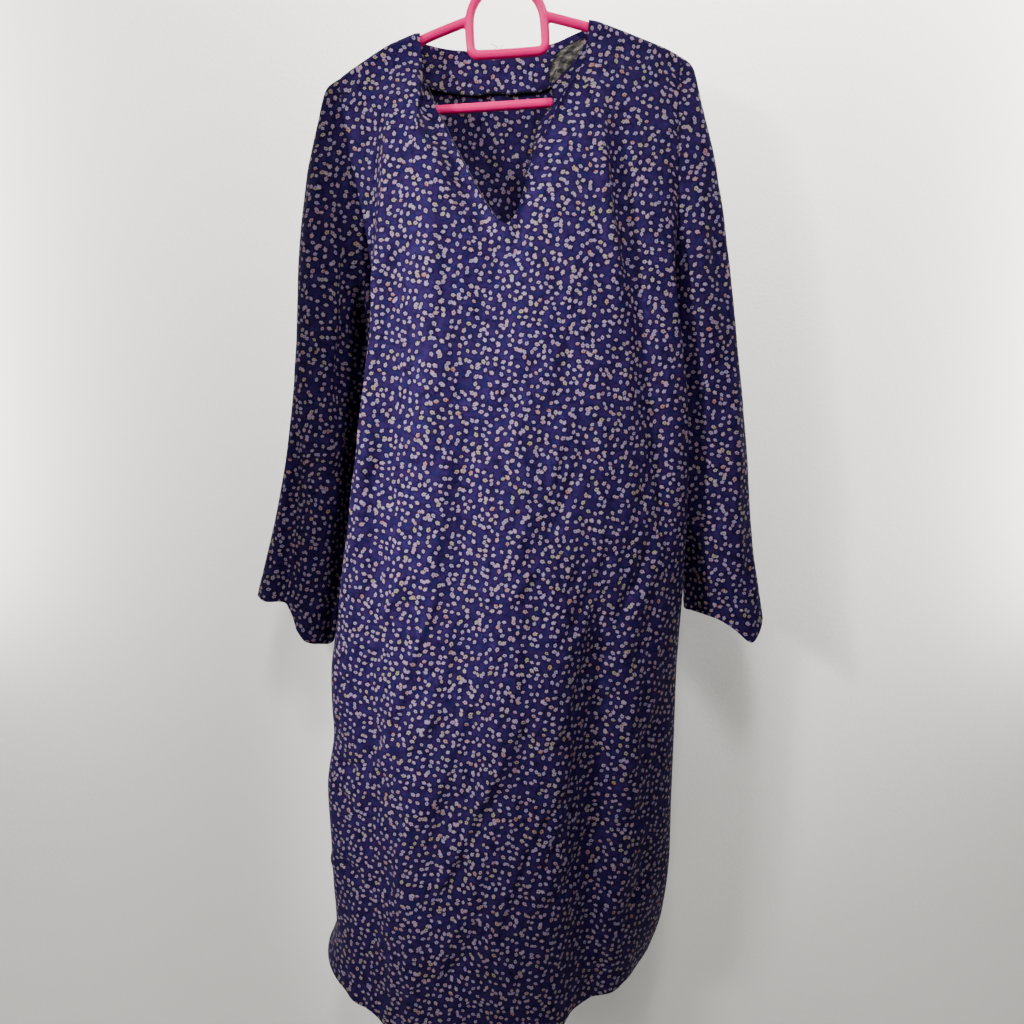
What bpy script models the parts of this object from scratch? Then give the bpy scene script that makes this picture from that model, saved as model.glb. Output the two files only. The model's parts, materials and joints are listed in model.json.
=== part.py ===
"""Loose long-sleeved tunic with a V neck, hanging from a one-piece moulded hanger.

Millimetres in the tables, metres in the scene. +Z is up, the front faces -Y, and the origin is the inner top
of the hanger's hook. "Left" and "right" are the viewer's, looking at the front. The hanger and the
shoulders lean a little, with the right shoulder the higher one.
"""

import math

import bmesh
import bpy
import numpy as np

MM = 0.001

# ---- driving sizes -------------------------------------------------------------------------------
LEAN = math.radians(3.5)  # the right end of the hanger is the higher
LOOP_X = 5.0  # centre of the loop's arch
LOOP_Z = -97.0
BAR = 9.0  # diameter of the hanger's bars
LOOP_WIDTH = 81.4  # outside
LOOP_DROP = 26.0  # arch centre down to the loop's lower bar
LOOP_CORNER = 7.0
HOOK_INSIDE = 40.0  # inner diameter of the hook
HOOK_RISE = 77.0  # arch centre up to the hook's centre
TROUSER_DROP = 73.5  # arch centre down to the trouser bar
SHOULDER_LIFT = {-1: 3.0, 1: 0.0}  # how far the shoulder seam stands off the arm half way along
CLOTH = 1.5  # wall of the panels and sleeves
FACING = 1.2  # wall of the facings
SEAM = 0.3  # gap at every seam
WRAP = 6.4  # the cloth's middle runs this far from the centre line of the hanger's arm
NECK_LEFT = -79.0  # where the shoulder seams end at the neck
NECK_RIGHT = 84.0

# Centre line of a hanger arm, outwards from the loop, in the hanger's own axes.
ARM = [
    # out, up
    (41.0, 4.0),
    (60.0, -2.0),
    (83.0, -9.5),
    (105.0, -18.5),
    (128.0, -28.5),
    (150.0, -38.5),
    (164.0, -46.5),
    (168.5, -53.0),
    (169.0, -61.0),
    (163.5, -69.5),
    (153.0, -73.5),
]

# Edge of the V, from the neck point on each side down to its lowest point.
V_LEFT = [
    # x, y, z
    (-78.8, -4.4, -107.8),
    (-78.2, -6.7, -112.5),
    (-77.2, -8.0, -122.0),
    (-75.9, -13.0, -149.0),
    (-64.4, -19.0, -176.5),
    (-48.0, -26.3, -210.5),
    (-31.0, -33.3, -242.5),
    (-17.0, -39.3, -268.5),
    (-5.0, -43.5, -286.0),
]
V_LOWEST = (4.3, -45.0, -291.5)
V_RIGHT = [
    (83.8, -4.4, -95.8),
    (83.2, -6.7, -100.5),
    (82.2, -8.0, -112.0),
    (80.4, -10.0, -131.0),
    (70.8, -14.0, -148.5),
    (60.4, -17.0, -162.5),
    (50.8, -20.0, -175.5),
    (38.0, -25.6, -200.0),
    (28.0, -32.5, -235.5),
    (18.5, -39.7, -268.0),
    (10.5, -43.7, -286.0),
]

# Back neck, between the neck points.
BACK_NECK = [
    # x, y, z
    (-78.6, 4.4, -107.8),
    (-77.2, 7.0, -110.5),
    (-68.0, 11.0, -112.0),
    (-45.0, 14.0, -114.5),
    (-22.0, 15.0, -115.0),
    (5.0, 15.0, -114.5),
    (28.0, 15.0, -112.5),
    (50.0, 14.0, -108.5),
    (68.0, 11.0, -102.5),
    (82.2, 7.0, -97.6),
    (83.4, 4.4, -95.8),
]

# Armholes: the panel's edge as a share of the way from shoulder tip to underarm.
ARMHOLE_LEFT = [
    # share, front x, front y, back x, back y
    (0.000, -157.6, 0.0, -157.6, 0.0),
    (0.009, -157.5, -4.8, -157.6, 4.8),
    (0.030, -157.2, -6.8, -157.6, 6.8),
    (0.12, -155.5, -8.0, -158.5, 9.0),
    (0.30, -151.0, -9.0, -157.5, 12.0),
    (0.50, -142.5, -9.0, -151.0, 14.5),
    (0.72, -134.5, -8.0, -142.5, 15.0),
    (0.90, -130.0, -4.5, -133.5, 11.5),
    (1.00, -128.5, 2.0, -128.5, 2.0),
]
ARMHOLE_RIGHT = [
    (0.000, 172.6, 0.0, 172.6, 0.0),
    (0.009, 172.5, -4.8, 172.6, 4.8),
    (0.030, 172.4, -6.8, 172.6, 6.8),
    (0.12, 171.8, -9.5, 173.0, 9.0),
    (0.30, 171.5, -14.0, 173.5, 12.0),
    (0.50, 172.0, -17.0, 174.0, 14.5),
    (0.72, 173.5, -16.0, 174.5, 15.0),
    (0.90, 173.5, -8.0, 174.0, 11.5),
    (1.00, 172.0, 2.0, 172.0, 2.0),
]
UNDERARM_LEFT = -362.0
UNDERARM_RIGHT = -336.0

# Side seams below the underarm.
SIDE_LEFT = [
    # z, x, y
    (-362.0, -128.5, 2.0),
    (-400.0, -126.0, 3.0),
    (-460.0, -126.5, 3.0),
    (-560.0, -137.0, 4.0),
    (-640.0, -149.0, 5.0),
    (-705.0, -162.0, 6.0),
    (-770.0, -170.0, 7.0),
    (-890.0, -178.0, 9.0),
    (-1000.0, -179.0, 11.0),
    (-1150.0, -188.0, 14.0),
]
SIDE_RIGHT = [
    (-336.0, 172.0, 2.0),
    (-400.0, 166.0, 3.0),
    (-460.0, 167.0, 3.0),
    (-560.0, 174.0, 4.0),
    (-640.0, 177.0, 5.0),
    (-705.0, 176.0, 6.0),
    (-770.0, 175.0, 8.0),
    (-890.0, 176.0, 11.0),
    (-1000.0, 174.0, 15.0),
    (-1150.0, 150.0, 20.0),
]

# Level sections of the front, between the two side edges. Each side has a lobe that stands in front of
# its sleeve, and a turn behind the lobe, where the cloth goes back to the seam.
FRONT_AT = (0.05, 0.12, 0.30, 0.50, 0.70, 0.88, 0.95)
FRONT = [
    # z, turn left, lobe left, left, middle, right, lobe right, turn right, each as x and y
    (-90.0, -135, -8, -100, -8, -60, -9, 4, -10, 60, -9, 118, -8, 150, -8),
    (-160.0, -134, -14, -100, -22, -60, -26, 4, -26, 60, -22, 120, -16, 152, -15),
    (-200.0, -125, -15, -104, -35, -60, -36, 4, -35, 60, -32, 122, -22, 154, -20),
    (-260.0, -125, -17, -111, -41, -62, -46, 4, -43, 60, -43, 126, -30, 158, -26),
    (-330.0, -127, -19, -120, -44, -64, -54, 4, -52, 62, -52, 134, -38, 168, -32),
    (-400.0, -131, -20, -128, -45, -66, -60, 4, -60, 64, -58, 142, -44, 178, -32),
    (-460.0, -138, -20, -136, -46, -68, -66, 4, -67, 64, -65, 150, -48, 186, -30),
    (-560.0, -151, -18, -152, -44, -80, -73, 4, -77, 64, -74, 156, -52, 190, -28),
    (-640.0, -163, -16, -165, -42, -92, -77, 4, -83, 64, -79, 158, -54, 189, -26),
    (-705.0, -179, -14, -176, -38, -96, -79, 4, -87, 62, -82, 156, -54, 187, -22),
    (-750.0, -184, -12, -180, -36, -99, -80, 4, -90, 62, -84, 154, -54, 186, -20),
    (-805.0, -182, -12, -178, -36, -101, -81, 4, -92, 61, -86, 153, -54, 186, -20),
    (-880.0, -191, -11, -187, -35, -104, -83, 4, -96, 60, -89, 152, -54, 186, -18),
    (-960.0, -189, -11, -186, -37, -107, -85, 4, -99, 59, -92, 151, -54, 187, -15),
    (-1035.0, -189, -9, -184, -41, -109, -87, 4, -102, 58, -94, 147, -53, 181, -12),
    (-1085.0, -203, -6, -192, -38, -111, -88, 4, -103, 57, -95, 138, -51, 166, -10),
    (-1150.0, -206, -6, -194, -40, -112, -90, 4, -105, 56, -96, 130, -50, 154, -8),
]

# Back of the level section at mid width.
BACK_DEPTH = [
    # z, y
    (-90.0, 9.0),
    (-130.0, 15.0),
    (-200.0, 17.0),
    (-330.0, 22.0),
    (-460.0, 26.0),
    (-640.0, 30.0),
    (-890.0, 35.0),
    (-1150.0, 40.0),
]

# Hems, across from the left seam to the right seam.
FRONT_HEM = [
    # share, z
    (0.00, -1082.0),
    (0.12, -1091.0),
    (0.22, -1108.0),
    (0.35, -1133.0),
    (0.50, -1142.0),
    (0.66, -1138.0),
    (0.73, -1108.0),
    (0.88, -1086.0),
    (1.00, -1054.0),
]
BACK_HEM = [
    (0.00, -1082.0),
    (0.30, -1098.0),
    (0.70, -1092.0),
    (1.00, -1054.0),
]

# Folds of the front: a soft ridge (forward, plus) or trough (minus) along a line.
FRONT_FOLDS = [
    # top z, top x, low z, low x, half width, depth
    (-150.0, -62.0, -620.0, -60.0, 26.0, 6.0),
    (-230.0, -92.0, -760.0, -140.0, 15.0, -6.0),
    (-520.0, -40.0, -1160.0, -30.0, 22.0, -4.0),
    (-140.0, 92.0, -330.0, 110.0, 9.0, 6.0),
    (-170.0, 108.0, -620.0, 166.0, 12.0, -8.0),
    (-300.0, 20.0, -900.0, 10.0, 24.0, 3.0),
    (-560.0, 60.0, -1160.0, 50.0, 17.0, 7.0),
    (-600.0, 88.0, -1160.0, 80.0, 16.0, -11.0),
    (-640.0, 132.0, -1160.0, 120.0, 18.0, 5.0),
    (-700.0, -86.0, -1160.0, -92.0, 24.0, 5.0),
    (-640.0, -128.0, -1160.0, -140.0, 15.0, -5.0),
    (-230.0, 10.0, -420.0, 4.0, 14.0, -4.0),
]
BACK_FOLDS = [
    # ridges stand out to the rear
    (-200.0, -70.0, -1160.0, -84.0, 20.0, 6.0),
    (-260.0, -20.0, -1160.0, -30.0, 22.0, -5.0),
    (-190.0, 36.0, -1160.0, 30.0, 18.0, 6.0),
    (-300.0, 86.0, -1160.0, 96.0, 22.0, -5.0),
    (-420.0, -120.0, -1160.0, -136.0, 16.0, -4.0),
    (-420.0, 128.0, -1160.0, 140.0, 16.0, 5.0),
]

# Sleeves: the outer line runs from the shoulder tip, the inner line from the underarm.
SLEEVE_LEFT = [
    # share, outer x, y, z, inner x, y, z, depth to the front, depth to the back
    (0.00, -159.0, 0.0, -149.5, -131.0, 2.0, -362.0, 13.0, 15.0),
    (0.06, -172.0, 0.5, -158.0, -132.6, 2.5, -380.0, 15.0, 16.0),
    (0.15, -181.0, 1.0, -188.0, -133.2, 3.0, -408.0, 19.0, 18.0),
    (0.28, -193.0, 2.0, -242.0, -135.0, 4.0, -450.0, 24.0, 20.0),
    (0.42, -203.0, 3.0, -312.0, -141.0, 5.0, -502.0, 26.0, 21.0),
    (0.58, -212.0, 4.0, -420.0, -151.0, 6.0, -566.0, 27.0, 22.0),
    (0.72, -226.0, 5.0, -515.0, -163.0, 5.0, -618.0, 28.0, 22.0),
    (0.86, -244.0, 6.0, -592.0, -174.0, 3.0, -666.0, 29.0, 22.0),
    (1.00, -264.0, 8.0, -664.0, -184.0, 0.0, -711.0, 30.0, 22.0),
]
SLEEVE_RIGHT = [
    (0.00, 174.2, 0.0, -129.0, 174.0, 2.0, -336.0, 16.0, 15.0),
    (0.06, 186.0, 0.5, -137.0, 175.5, 2.5, -352.0, 19.0, 18.0),
    (0.15, 195.0, 1.0, -168.0, 177.0, 3.0, -380.0, 20.0, 18.0),
    (0.28, 210.0, 2.0, -226.0, 178.0, 4.0, -424.0, 24.0, 20.0),
    (0.42, 224.5, 3.0, -300.0, 182.0, 5.0, -476.0, 26.0, 21.0),
    (0.58, 241.0, 3.0, -410.0, 189.0, 6.0, -540.0, 27.0, 22.0),
    (0.72, 254.0, 3.0, -506.0, 194.0, 8.0, -592.0, 28.0, 22.0),
    (0.86, 264.5, 2.0, -602.0, 198.0, 11.0, -640.0, 29.0, 22.0),
    (1.00, 279.5, 0.0, -685.0, 202.0, 14.0, -684.0, 29.0, 20.0),
]

# Folds along a sleeve. The place is 0 at the outer line, 1 at the inner line over the front and -1 over
# the back; the line runs from one share of the sleeve's length to another.
SLEEVE_FOLDS_LEFT = [
    # top share, top place, low share, low place, half width, depth outwards
    (0.10, 0.22, 0.55, 0.24, 0.13, 4.0),
    (0.12, 0.55, 0.60, 0.48, 0.12, -6.0),
    (0.45, 0.70, 0.95, 0.72, 0.15, 5.0),
    (0.62, 0.26, 1.05, 0.47, 0.10, -13.0),
    (0.15, -0.35, 0.80, -0.45, 0.14, -5.0),
    (0.35, -0.70, 1.05, -0.62, 0.14, 4.0),
]
SLEEVE_FOLDS_RIGHT = [
    (0.08, 0.50, 0.60, 0.45, 0.14, 4.0),
    (0.20, 0.78, 0.75, 0.72, 0.12, -5.0),
    (0.70, 1.00, 1.05, 0.78, 0.18, -17.0),
    (0.60, 0.30, 1.05, 0.36, 0.12, 5.0),
    (0.15, -0.40, 0.85, -0.38, 0.14, -5.0),
    (0.40, -0.72, 1.05, -0.66, 0.14, 4.0),
]
# How far the cuff's edge dips below the straight line between its two ends.
CUFF_LEFT = [
    # place, drop
    (-1.00, 0.0),
    (-0.50, 4.0),
    (0.00, 0.0),
    (0.22, -2.0),
    (0.44, -11.0),
    (0.54, 7.0),
    (0.62, 15.0),
    (0.78, 13.0),
    (1.00, 0.0),
]
CUFF_RIGHT = [
    (-1.00, 0.0),
    (-0.50, 3.0),
    (0.00, 0.0),
    (0.16, 15.0),
    (0.30, 26.0),
    (0.46, 12.0),
    (0.60, 4.0),
    (0.80, 1.0),
    (1.00, 0.0),
]
# The shares of an armhole's depth where the panels and sleeves have a row.
ROWS_ABOVE = (
    0.0, 0.009, 0.03, 0.07, 0.13, 0.21, 0.31, 0.42, 0.54, 0.66, 0.78, 0.90, 1.0,
)
ROWS_BELOW = 13
RINGS = 16

# Facing of the back neck, and the front facing's turned-over end.
FACING_DEPTH = 41.0
FLAP_OUTLINE = [
    # left x, left z, right x, right z, from the top of the flap to its tip
    (77.0, -110.0, 80.6, -113.0),
    (66.5, -115.0, 79.0, -121.0),
    (55.5, -122.5, 73.5, -129.5),
    (49.5, -131.0, 64.0, -138.0),
    (46.6, -140.5, 55.0, -147.5),
    (46.0, -153.5, 49.0, -154.5),
]


# ---- helpers -------------------------------------------------------------------------------------
def curve(knots, values, at):
    """Smooth curve through the values, with the slope at a knot kept under its neighbours'."""
    knots = np.asarray(knots, float)
    values = np.asarray(values, float)
    if knots[0] > knots[-1]:
        knots, values = knots[::-1], values[::-1]
    at = min(max(at, knots[0]), knots[-1])
    k = int(min(max(np.searchsorted(knots, at) - 1, 0), len(knots) - 2))
    steps = np.diff(knots)
    rises = np.diff(values) / steps

    def slope(i):
        if i in (0, len(knots) - 1):
            return rises[0] if i == 0 else rises[-1]
        a, b = rises[i - 1], rises[i]
        if a * b <= 0:
            return 0.0
        return 2 * a * b / (a + b)

    h = steps[k]
    t = (at - knots[k]) / h
    first, second = slope(k) * h, slope(k + 1) * h
    return (
        (2 * t**3 - 3 * t**2 + 1) * values[k]
        + (t**3 - 2 * t**2 + t) * first
        + (3 * t**2 - 2 * t**3) * values[k + 1]
        + (t**3 - t**2) * second
    )


def column(table, place):
    return [row[place] for row in table]


def ease(share):
    share = min(max(share, 0.0), 1.0)
    return share * share * (3 - 2 * share)


def leaning(out, up):
    """A point of the hanger's own axes, as x and z."""
    return (
        LOOP_X + out * math.cos(LEAN) - up * math.sin(LEAN),
        LOOP_Z + out * math.sin(LEAN) + up * math.cos(LEAN),
    )


def shoulder_line(side):
    """The shoulder seam over one arm, as x and z, from the neck outwards."""
    outs = column(ARM[:7], 0)
    ups = column(ARM[:7], 1)
    line = []
    for k in range(25):
        out = 60.0 + (164.0 - 60.0) * k / 24
        up = curve(outs, ups, out)
        slope = (curve(outs, ups, out + 1) - curve(outs, ups, out - 1)) / 2
        long = math.hypot(1, slope)
        up += SHOULDER_LIFT[side] * math.exp(-(((out - 115.0) / 24.0) ** 2))
        line.append(leaning(side * (out - slope / long * WRAP), up + WRAP / long))
    return sorted(line)


SHOULDER = {side: shoulder_line(side) for side in (-1, 1)}


def shoulder_z(side, x):
    return float(np.interp(x, column(SHOULDER[side], 0), column(SHOULDER[side], 1)))


def armhole(side, share, back):
    table = ARMHOLE_LEFT if side < 0 else ARMHOLE_RIGHT
    low = UNDERARM_LEFT if side < 0 else UNDERARM_RIGHT
    top = shoulder_z(side, table[0][1])
    shares = column(table, 0)
    return (
        curve(shares, column(table, 3 if back else 1), share),
        curve(shares, column(table, 4 if back else 2), share),
        top + (low - top) * share,
    )


def side_edge(side, z, back):
    """x and y of a panel's side edge at a height."""
    table = SIDE_LEFT if side < 0 else SIDE_RIGHT
    low = table[0][0]
    if z > low:
        top = armhole(side, 0.0, back)[2]
        x, y, _ = armhole(side, max(0.0, (z - top) / (low - top)), back)
        return x, y
    return curve(column(table, 0), column(table, 1), z), curve(column(table, 0), column(table, 2), z)


def fold_sum(folds, x, z):
    total = 0.0
    for top_z, top_x, low_z, low_x, half, depth in folds:
        share = (z - top_z) / (low_z - top_z)
        if share <= 0:
            continue
        middle = top_x + (low_x - top_x) * share
        fade = ease(share * 5) * (1 if low_z < -1150 else ease((1 - share) * 5))
        total += depth * fade * math.exp(-(((x - middle) / half) ** 2))
    return total


def front_base(u, z):
    """Point of the front's level section: u runs from the left edge to the right edge."""
    xs, ys = [], []
    for k in range(7):
        xs.append(curve(column(FRONT, 0), column(FRONT, 1 + 2 * k), z))
        ys.append(curve(column(FRONT, 0), column(FRONT, 2 + 2 * k), z))
    left, right = side_edge(-1, z, False), side_edge(1, z, False)
    places = (0.0,) + FRONT_AT + (1.0,)
    x = curve(places, [left[0]] + xs + [right[0]], u)
    y = curve(places, [left[1]] + ys + [right[1]], u)
    edge = ease(min(u, 1 - u) / 0.05)
    return x, y - edge * fold_sum(FRONT_FOLDS, x, z)


def back_base(u, z):
    left, right = side_edge(-1, z, True), side_edge(1, z, True)
    depth = curve(column(BACK_DEPTH, 0), column(BACK_DEPTH, 1), z)
    width = right[0] - left[0]
    places = (0.0, 0.04, 0.14, 0.5, 0.86, 0.96, 1.0)
    x = curve(
        places,
        [
            left[0],
            left[0] + 0.022 * width,
            left[0] + 0.115 * width,
            (left[0] + right[0]) / 2,
            right[0] - 0.115 * width,
            right[0] - 0.022 * width,
            right[0],
        ],
        u,
    )
    near_left = left[1] + (depth - left[1]) * 0.62
    near_right = right[1] + (depth - right[1]) * 0.62
    y = curve(
        places, [left[1], near_left, depth * 0.96, depth, depth * 0.96, near_right, right[1]], u
    )
    edge = ease(min(u, 1 - u) / 0.08)
    return x, y + edge * fold_sum(BACK_FOLDS, x, z)


def share_at(base, x, z):
    """The u whose point of the section at this height has this x."""
    low, high = 0.02, 0.98
    for _ in range(40):
        middle = (low + high) / 2
        if base(middle, z)[0] < x:
            low = middle
        else:
            high = middle
    return (low + high) / 2


def wrapped(drop, outward):
    """Distance from the hanger's plane at a drop below a shoulder seam."""
    if drop >= WRAP:
        return WRAP + (max(outward, WRAP) - WRAP) * ease((drop - WRAP) / 55.0)
    return math.sqrt(max(WRAP**2 - (WRAP - drop) ** 2, 0.0))


def low_line(u):
    """The level that ends the rows beside the armholes."""
    return UNDERARM_LEFT + (UNDERARM_RIGHT - UNDERARM_LEFT) * u


def panel(base, sign, columns, hem):
    """Grid of a panel's middle. A column is (u, kind, top point); sign is -1 for the front."""
    shares = column(hem, 0)
    heights = column(hem, 1)
    grid = []
    tops = []
    for u, kind, top in columns:
        if kind == "neck":
            tops.append(top)
            continue
        side = -1 if u < 0.5 else 1
        z = -130.0
        for _ in range(30):
            z = shoulder_z(side, base(u, z)[0])
        tops.append((base(u, z)[0], sign * SEAM / 2, z))
    down = [(True, share) for share in ROWS_ABOVE]
    down += [(False, (k + 1) / ROWS_BELOW) for k in range(ROWS_BELOW)]
    for above, share in down:
        line = []
        for (u, kind, _), top in zip(columns, tops):
            edge_side = {0.0: -1, 1.0: 1}.get(u)
            low = low_line(u)
            z = top[2] + (low - top[2]) * share if above else low + (curve(shares, heights, u) - low) * share
            if above and edge_side:
                x, y, z = armhole(edge_side, share, sign > 0)
                x -= edge_side * SEAM / 2
                if share == 0.0:
                    y = sign * SEAM / 2
                if share == 1.0:
                    y += sign * SEAM / 2
                line.append((x, y, z))
                continue
            x, y = base(u, z)
            if edge_side:
                line.append((x, y + sign * SEAM / 2, z))
                continue
            drop = top[2] - z
            if kind == "neck":
                reach = 40.0
                x = top[0] + (x - top[0]) * ease(drop / reach) if drop < reach else x
                y = top[1] + (y - top[1]) * ease(drop / 60.0)
                over = wrapped(shoulder_z(-1 if u < 0.5 else 1, x) - z, WRAP) if z < top[2] else 0.0
                y = sign * max(sign * y, over)
            elif above:
                y = sign * max(wrapped(drop, sign * y), SEAM / 2)
            line.append((x, y, z))
        grid.append(line)
    return np.array(grid)


def normals_of(grid, around=False):
    """Unit normals of a grid of points by central differences."""
    down = np.gradient(grid, axis=0)
    if around:
        across = (np.roll(grid, -1, axis=1) - np.roll(grid, 1, axis=1)) / 2
    else:
        across = np.gradient(grid, axis=1)
    found = np.cross(across, down)
    long = np.linalg.norm(found, axis=2, keepdims=True)
    return found / np.maximum(long, 1e-9)


def unit(vector):
    vector = np.asarray(vector, float)
    return vector / np.linalg.norm(vector)


def shell(name, grid, normals, wall, material, around=False):
    """One closed wall over a grid of points."""
    rows, columns = grid.shape[:2]
    outer = (grid + normals * wall / 2).reshape(-1, 3) * MM
    inner = (grid - normals * wall / 2).reshape(-1, 3) * MM
    count = rows * columns
    mesh = bpy.data.meshes.new(name)
    faces = []

    def at(i, j):
        return i * columns + j % columns

    last = columns if around else columns - 1
    for i in range(rows - 1):
        for j in range(last):
            a, b, c, d = at(i, j), at(i, j + 1), at(i + 1, j + 1), at(i + 1, j)
            faces += [(a, b, c), (a, c, d)]
            faces += [(count + a, count + c, count + b), (count + a, count + d, count + c)]
    rim = [(at(0, j + 1), at(0, j)) for j in range(last)]
    rim += [(at(rows - 1, j), at(rows - 1, j + 1)) for j in range(last)]
    if not around:
        rim += [(at(i, 0), at(i + 1, 0)) for i in range(rows - 1)]
        rim += [(at(i + 1, columns - 1), at(i, columns - 1)) for i in range(rows - 1)]
    for a, b in rim:
        faces += [(a, b, count + b), (a, count + b, count + a)]
    mesh.from_pydata(np.vstack([outer, inner]).tolist(), [], faces)
    return finished(name, mesh, material)


def finished(name, mesh, material):
    work = bmesh.new()
    work.from_mesh(mesh)
    bmesh.ops.recalc_face_normals(work, faces=work.faces)
    work.to_mesh(mesh)
    work.free()
    for face in mesh.polygons:
        face.use_smooth = True
    mesh.materials.append(material)
    thing = bpy.data.objects.new(name, mesh)
    bpy.context.scene.collection.objects.link(thing)
    return thing


def principled(name, colour, roughness, metallic=0.0):
    material = bpy.data.materials.new(name)
    material.use_nodes = True
    shader = material.node_tree.nodes["Principled BSDF"]
    shader.inputs["Base Color"].default_value = colour + (1.0,)
    shader.inputs["Roughness"].default_value = roughness
    shader.inputs["Metallic"].default_value = metallic
    return material


def tube(name, path, radius, sides, closed):
    """A round bar in the hanger's plane along a path of x and z."""
    path = np.array([(x, 0.0, z) for x, z in path])
    count = len(path)
    if closed:
        along = np.roll(path, -1, axis=0) - np.roll(path, 1, axis=0)
    else:
        along = np.gradient(path, axis=0)
    along /= np.linalg.norm(along, axis=1, keepdims=True)
    outward = np.cross(along, (0.0, 1.0, 0.0))
    points = []
    for place, away in zip(path, outward):
        for k in range(sides):
            turn = 2 * math.pi * (k + 0.5) / sides
            points.append(place + radius * (math.cos(turn) * away + math.sin(turn) * np.array((0, 1, 0))))
    faces = []
    for i in range(count if closed else count - 1):
        for k in range(sides):
            a, b = i * sides + k, i * sides + (k + 1) % sides
            c, d = (i + 1) % count * sides + (k + 1) % sides, (i + 1) % count * sides + k
            faces.append((a, b, c, d))
    if not closed:
        faces.append(tuple(range(sides)))
        faces.append(tuple((count - 1) * sides + k for k in reversed(range(sides))))
    mesh = bpy.data.meshes.new(name)
    mesh.from_pydata((np.array(points) * MM).tolist(), [], faces)
    return mesh


# ---- the scene -----------------------------------------------------------------------------------
for old in list(bpy.data.objects):
    bpy.data.objects.remove(old)

PRINTED = principled("printed_cloth", (0.028, 0.018, 0.16), 0.75)
PRINTED_INSIDE = principled("facing_cloth", (0.02, 0.014, 0.10), 0.8)
INTERFACING = principled("fusible_interfacing", (0.09, 0.09, 0.10), 0.9)
PLASTIC = principled("pink_plastic", (0.85, 0.03, 0.16), 0.35)

def spread(columns):
    """Columns that meet at the neck points fan apart below them."""
    columns = [list(entry) for entry in columns]
    middle = len(columns) // 2
    for k in range(middle, 0, -1):
        columns[k - 1][0] = min(columns[k - 1][0], columns[k][0] - 0.009)
    for k in range(middle, len(columns) - 1):
        columns[k + 1][0] = max(columns[k + 1][0], columns[k][0] + 0.009)
    columns[0][0], columns[-1][0] = 0.0, 1.0
    return [tuple(entry) for entry in columns]


# Front panel: the columns run from the left edge to the right edge, through the neck points and the V.
front_columns = [(u, "shoulder", None) for u in (0.0, 0.02, 0.04, 0.06, 0.085, 0.12, 0.165)]
front_columns.append((share_at(front_base, NECK_LEFT, -108.0), "shoulder", None))
for point in V_LEFT + [V_LOWEST] + V_RIGHT[::-1]:
    front_columns.append((share_at(front_base, point[0], point[2]), "neck", point))
front_columns.append((share_at(front_base, NECK_RIGHT, -100.0), "shoulder", None))
front_columns += [(u, "shoulder", None) for u in (0.795, 0.825, 0.855, 0.88, 0.91, 0.935, 0.96, 0.98, 1.0)]
front_columns = spread(front_columns)
front_grid = panel(front_base, -1, front_columns, FRONT_HEM)
front_normals = normals_of(front_grid)

back_columns = [(u, "shoulder", None) for u in (0.0, 0.02, 0.05, 0.09, 0.14, 0.19)]
back_columns.append((share_at(back_base, NECK_LEFT, -108.0), "shoulder", None))
for point in BACK_NECK:
    back_columns.append((share_at(back_base, point[0], point[2]), "neck", point))
back_columns.append((share_at(back_base, NECK_RIGHT, -100.0), "shoulder", None))
back_columns += [(u, "shoulder", None) for u in (0.81, 0.86, 0.91, 0.95, 0.98, 1.0)]
back_columns = spread(back_columns)
back_grid = panel(back_base, 1, back_columns, BACK_HEM)
back_normals = normals_of(back_grid)

above = len(ROWS_ABOVE)


def same_way(normals, sign):
    """All normals of a panel point to its outside."""
    if normals[:, :, 1].mean() * sign < 0:
        normals = -normals
    return normals


front_normals = same_way(front_normals, -1)
back_normals = same_way(back_normals, 1)


def seam_normals(grid, normals, columns, sign):
    for j, (u, kind, _) in enumerate(columns):
        if kind == "shoulder":
            side = -1 if u < 0.5 else 1
            x = grid[0, j, 0]
            slope = (shoulder_z(side, x + 2) - shoulder_z(side, x - 2)) / 4
            normals[0, j] = unit((-slope, 0, 1))
    for j, side in ((0, -1), (-1, 1)):
        for i in range(1, len(normals)):
            if i < above - 3:
                normals[i, j] = unit((0.1 * side, sign, 0))
            elif i < above - 1:
                normals[i, j] = unit((side, 1.2 * sign, 0))
            else:
                normals[i, j] = unit((side, 0.0, 0))
    return normals


front_normals = seam_normals(front_grid, front_normals, front_columns, -1)
back_normals = seam_normals(back_grid, back_normals, back_columns, 1)
shell("front_panel", front_grid, front_normals, CLOTH, PRINTED)
shell("back_panel", back_grid, back_normals, CLOTH, PRINTED)


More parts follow.
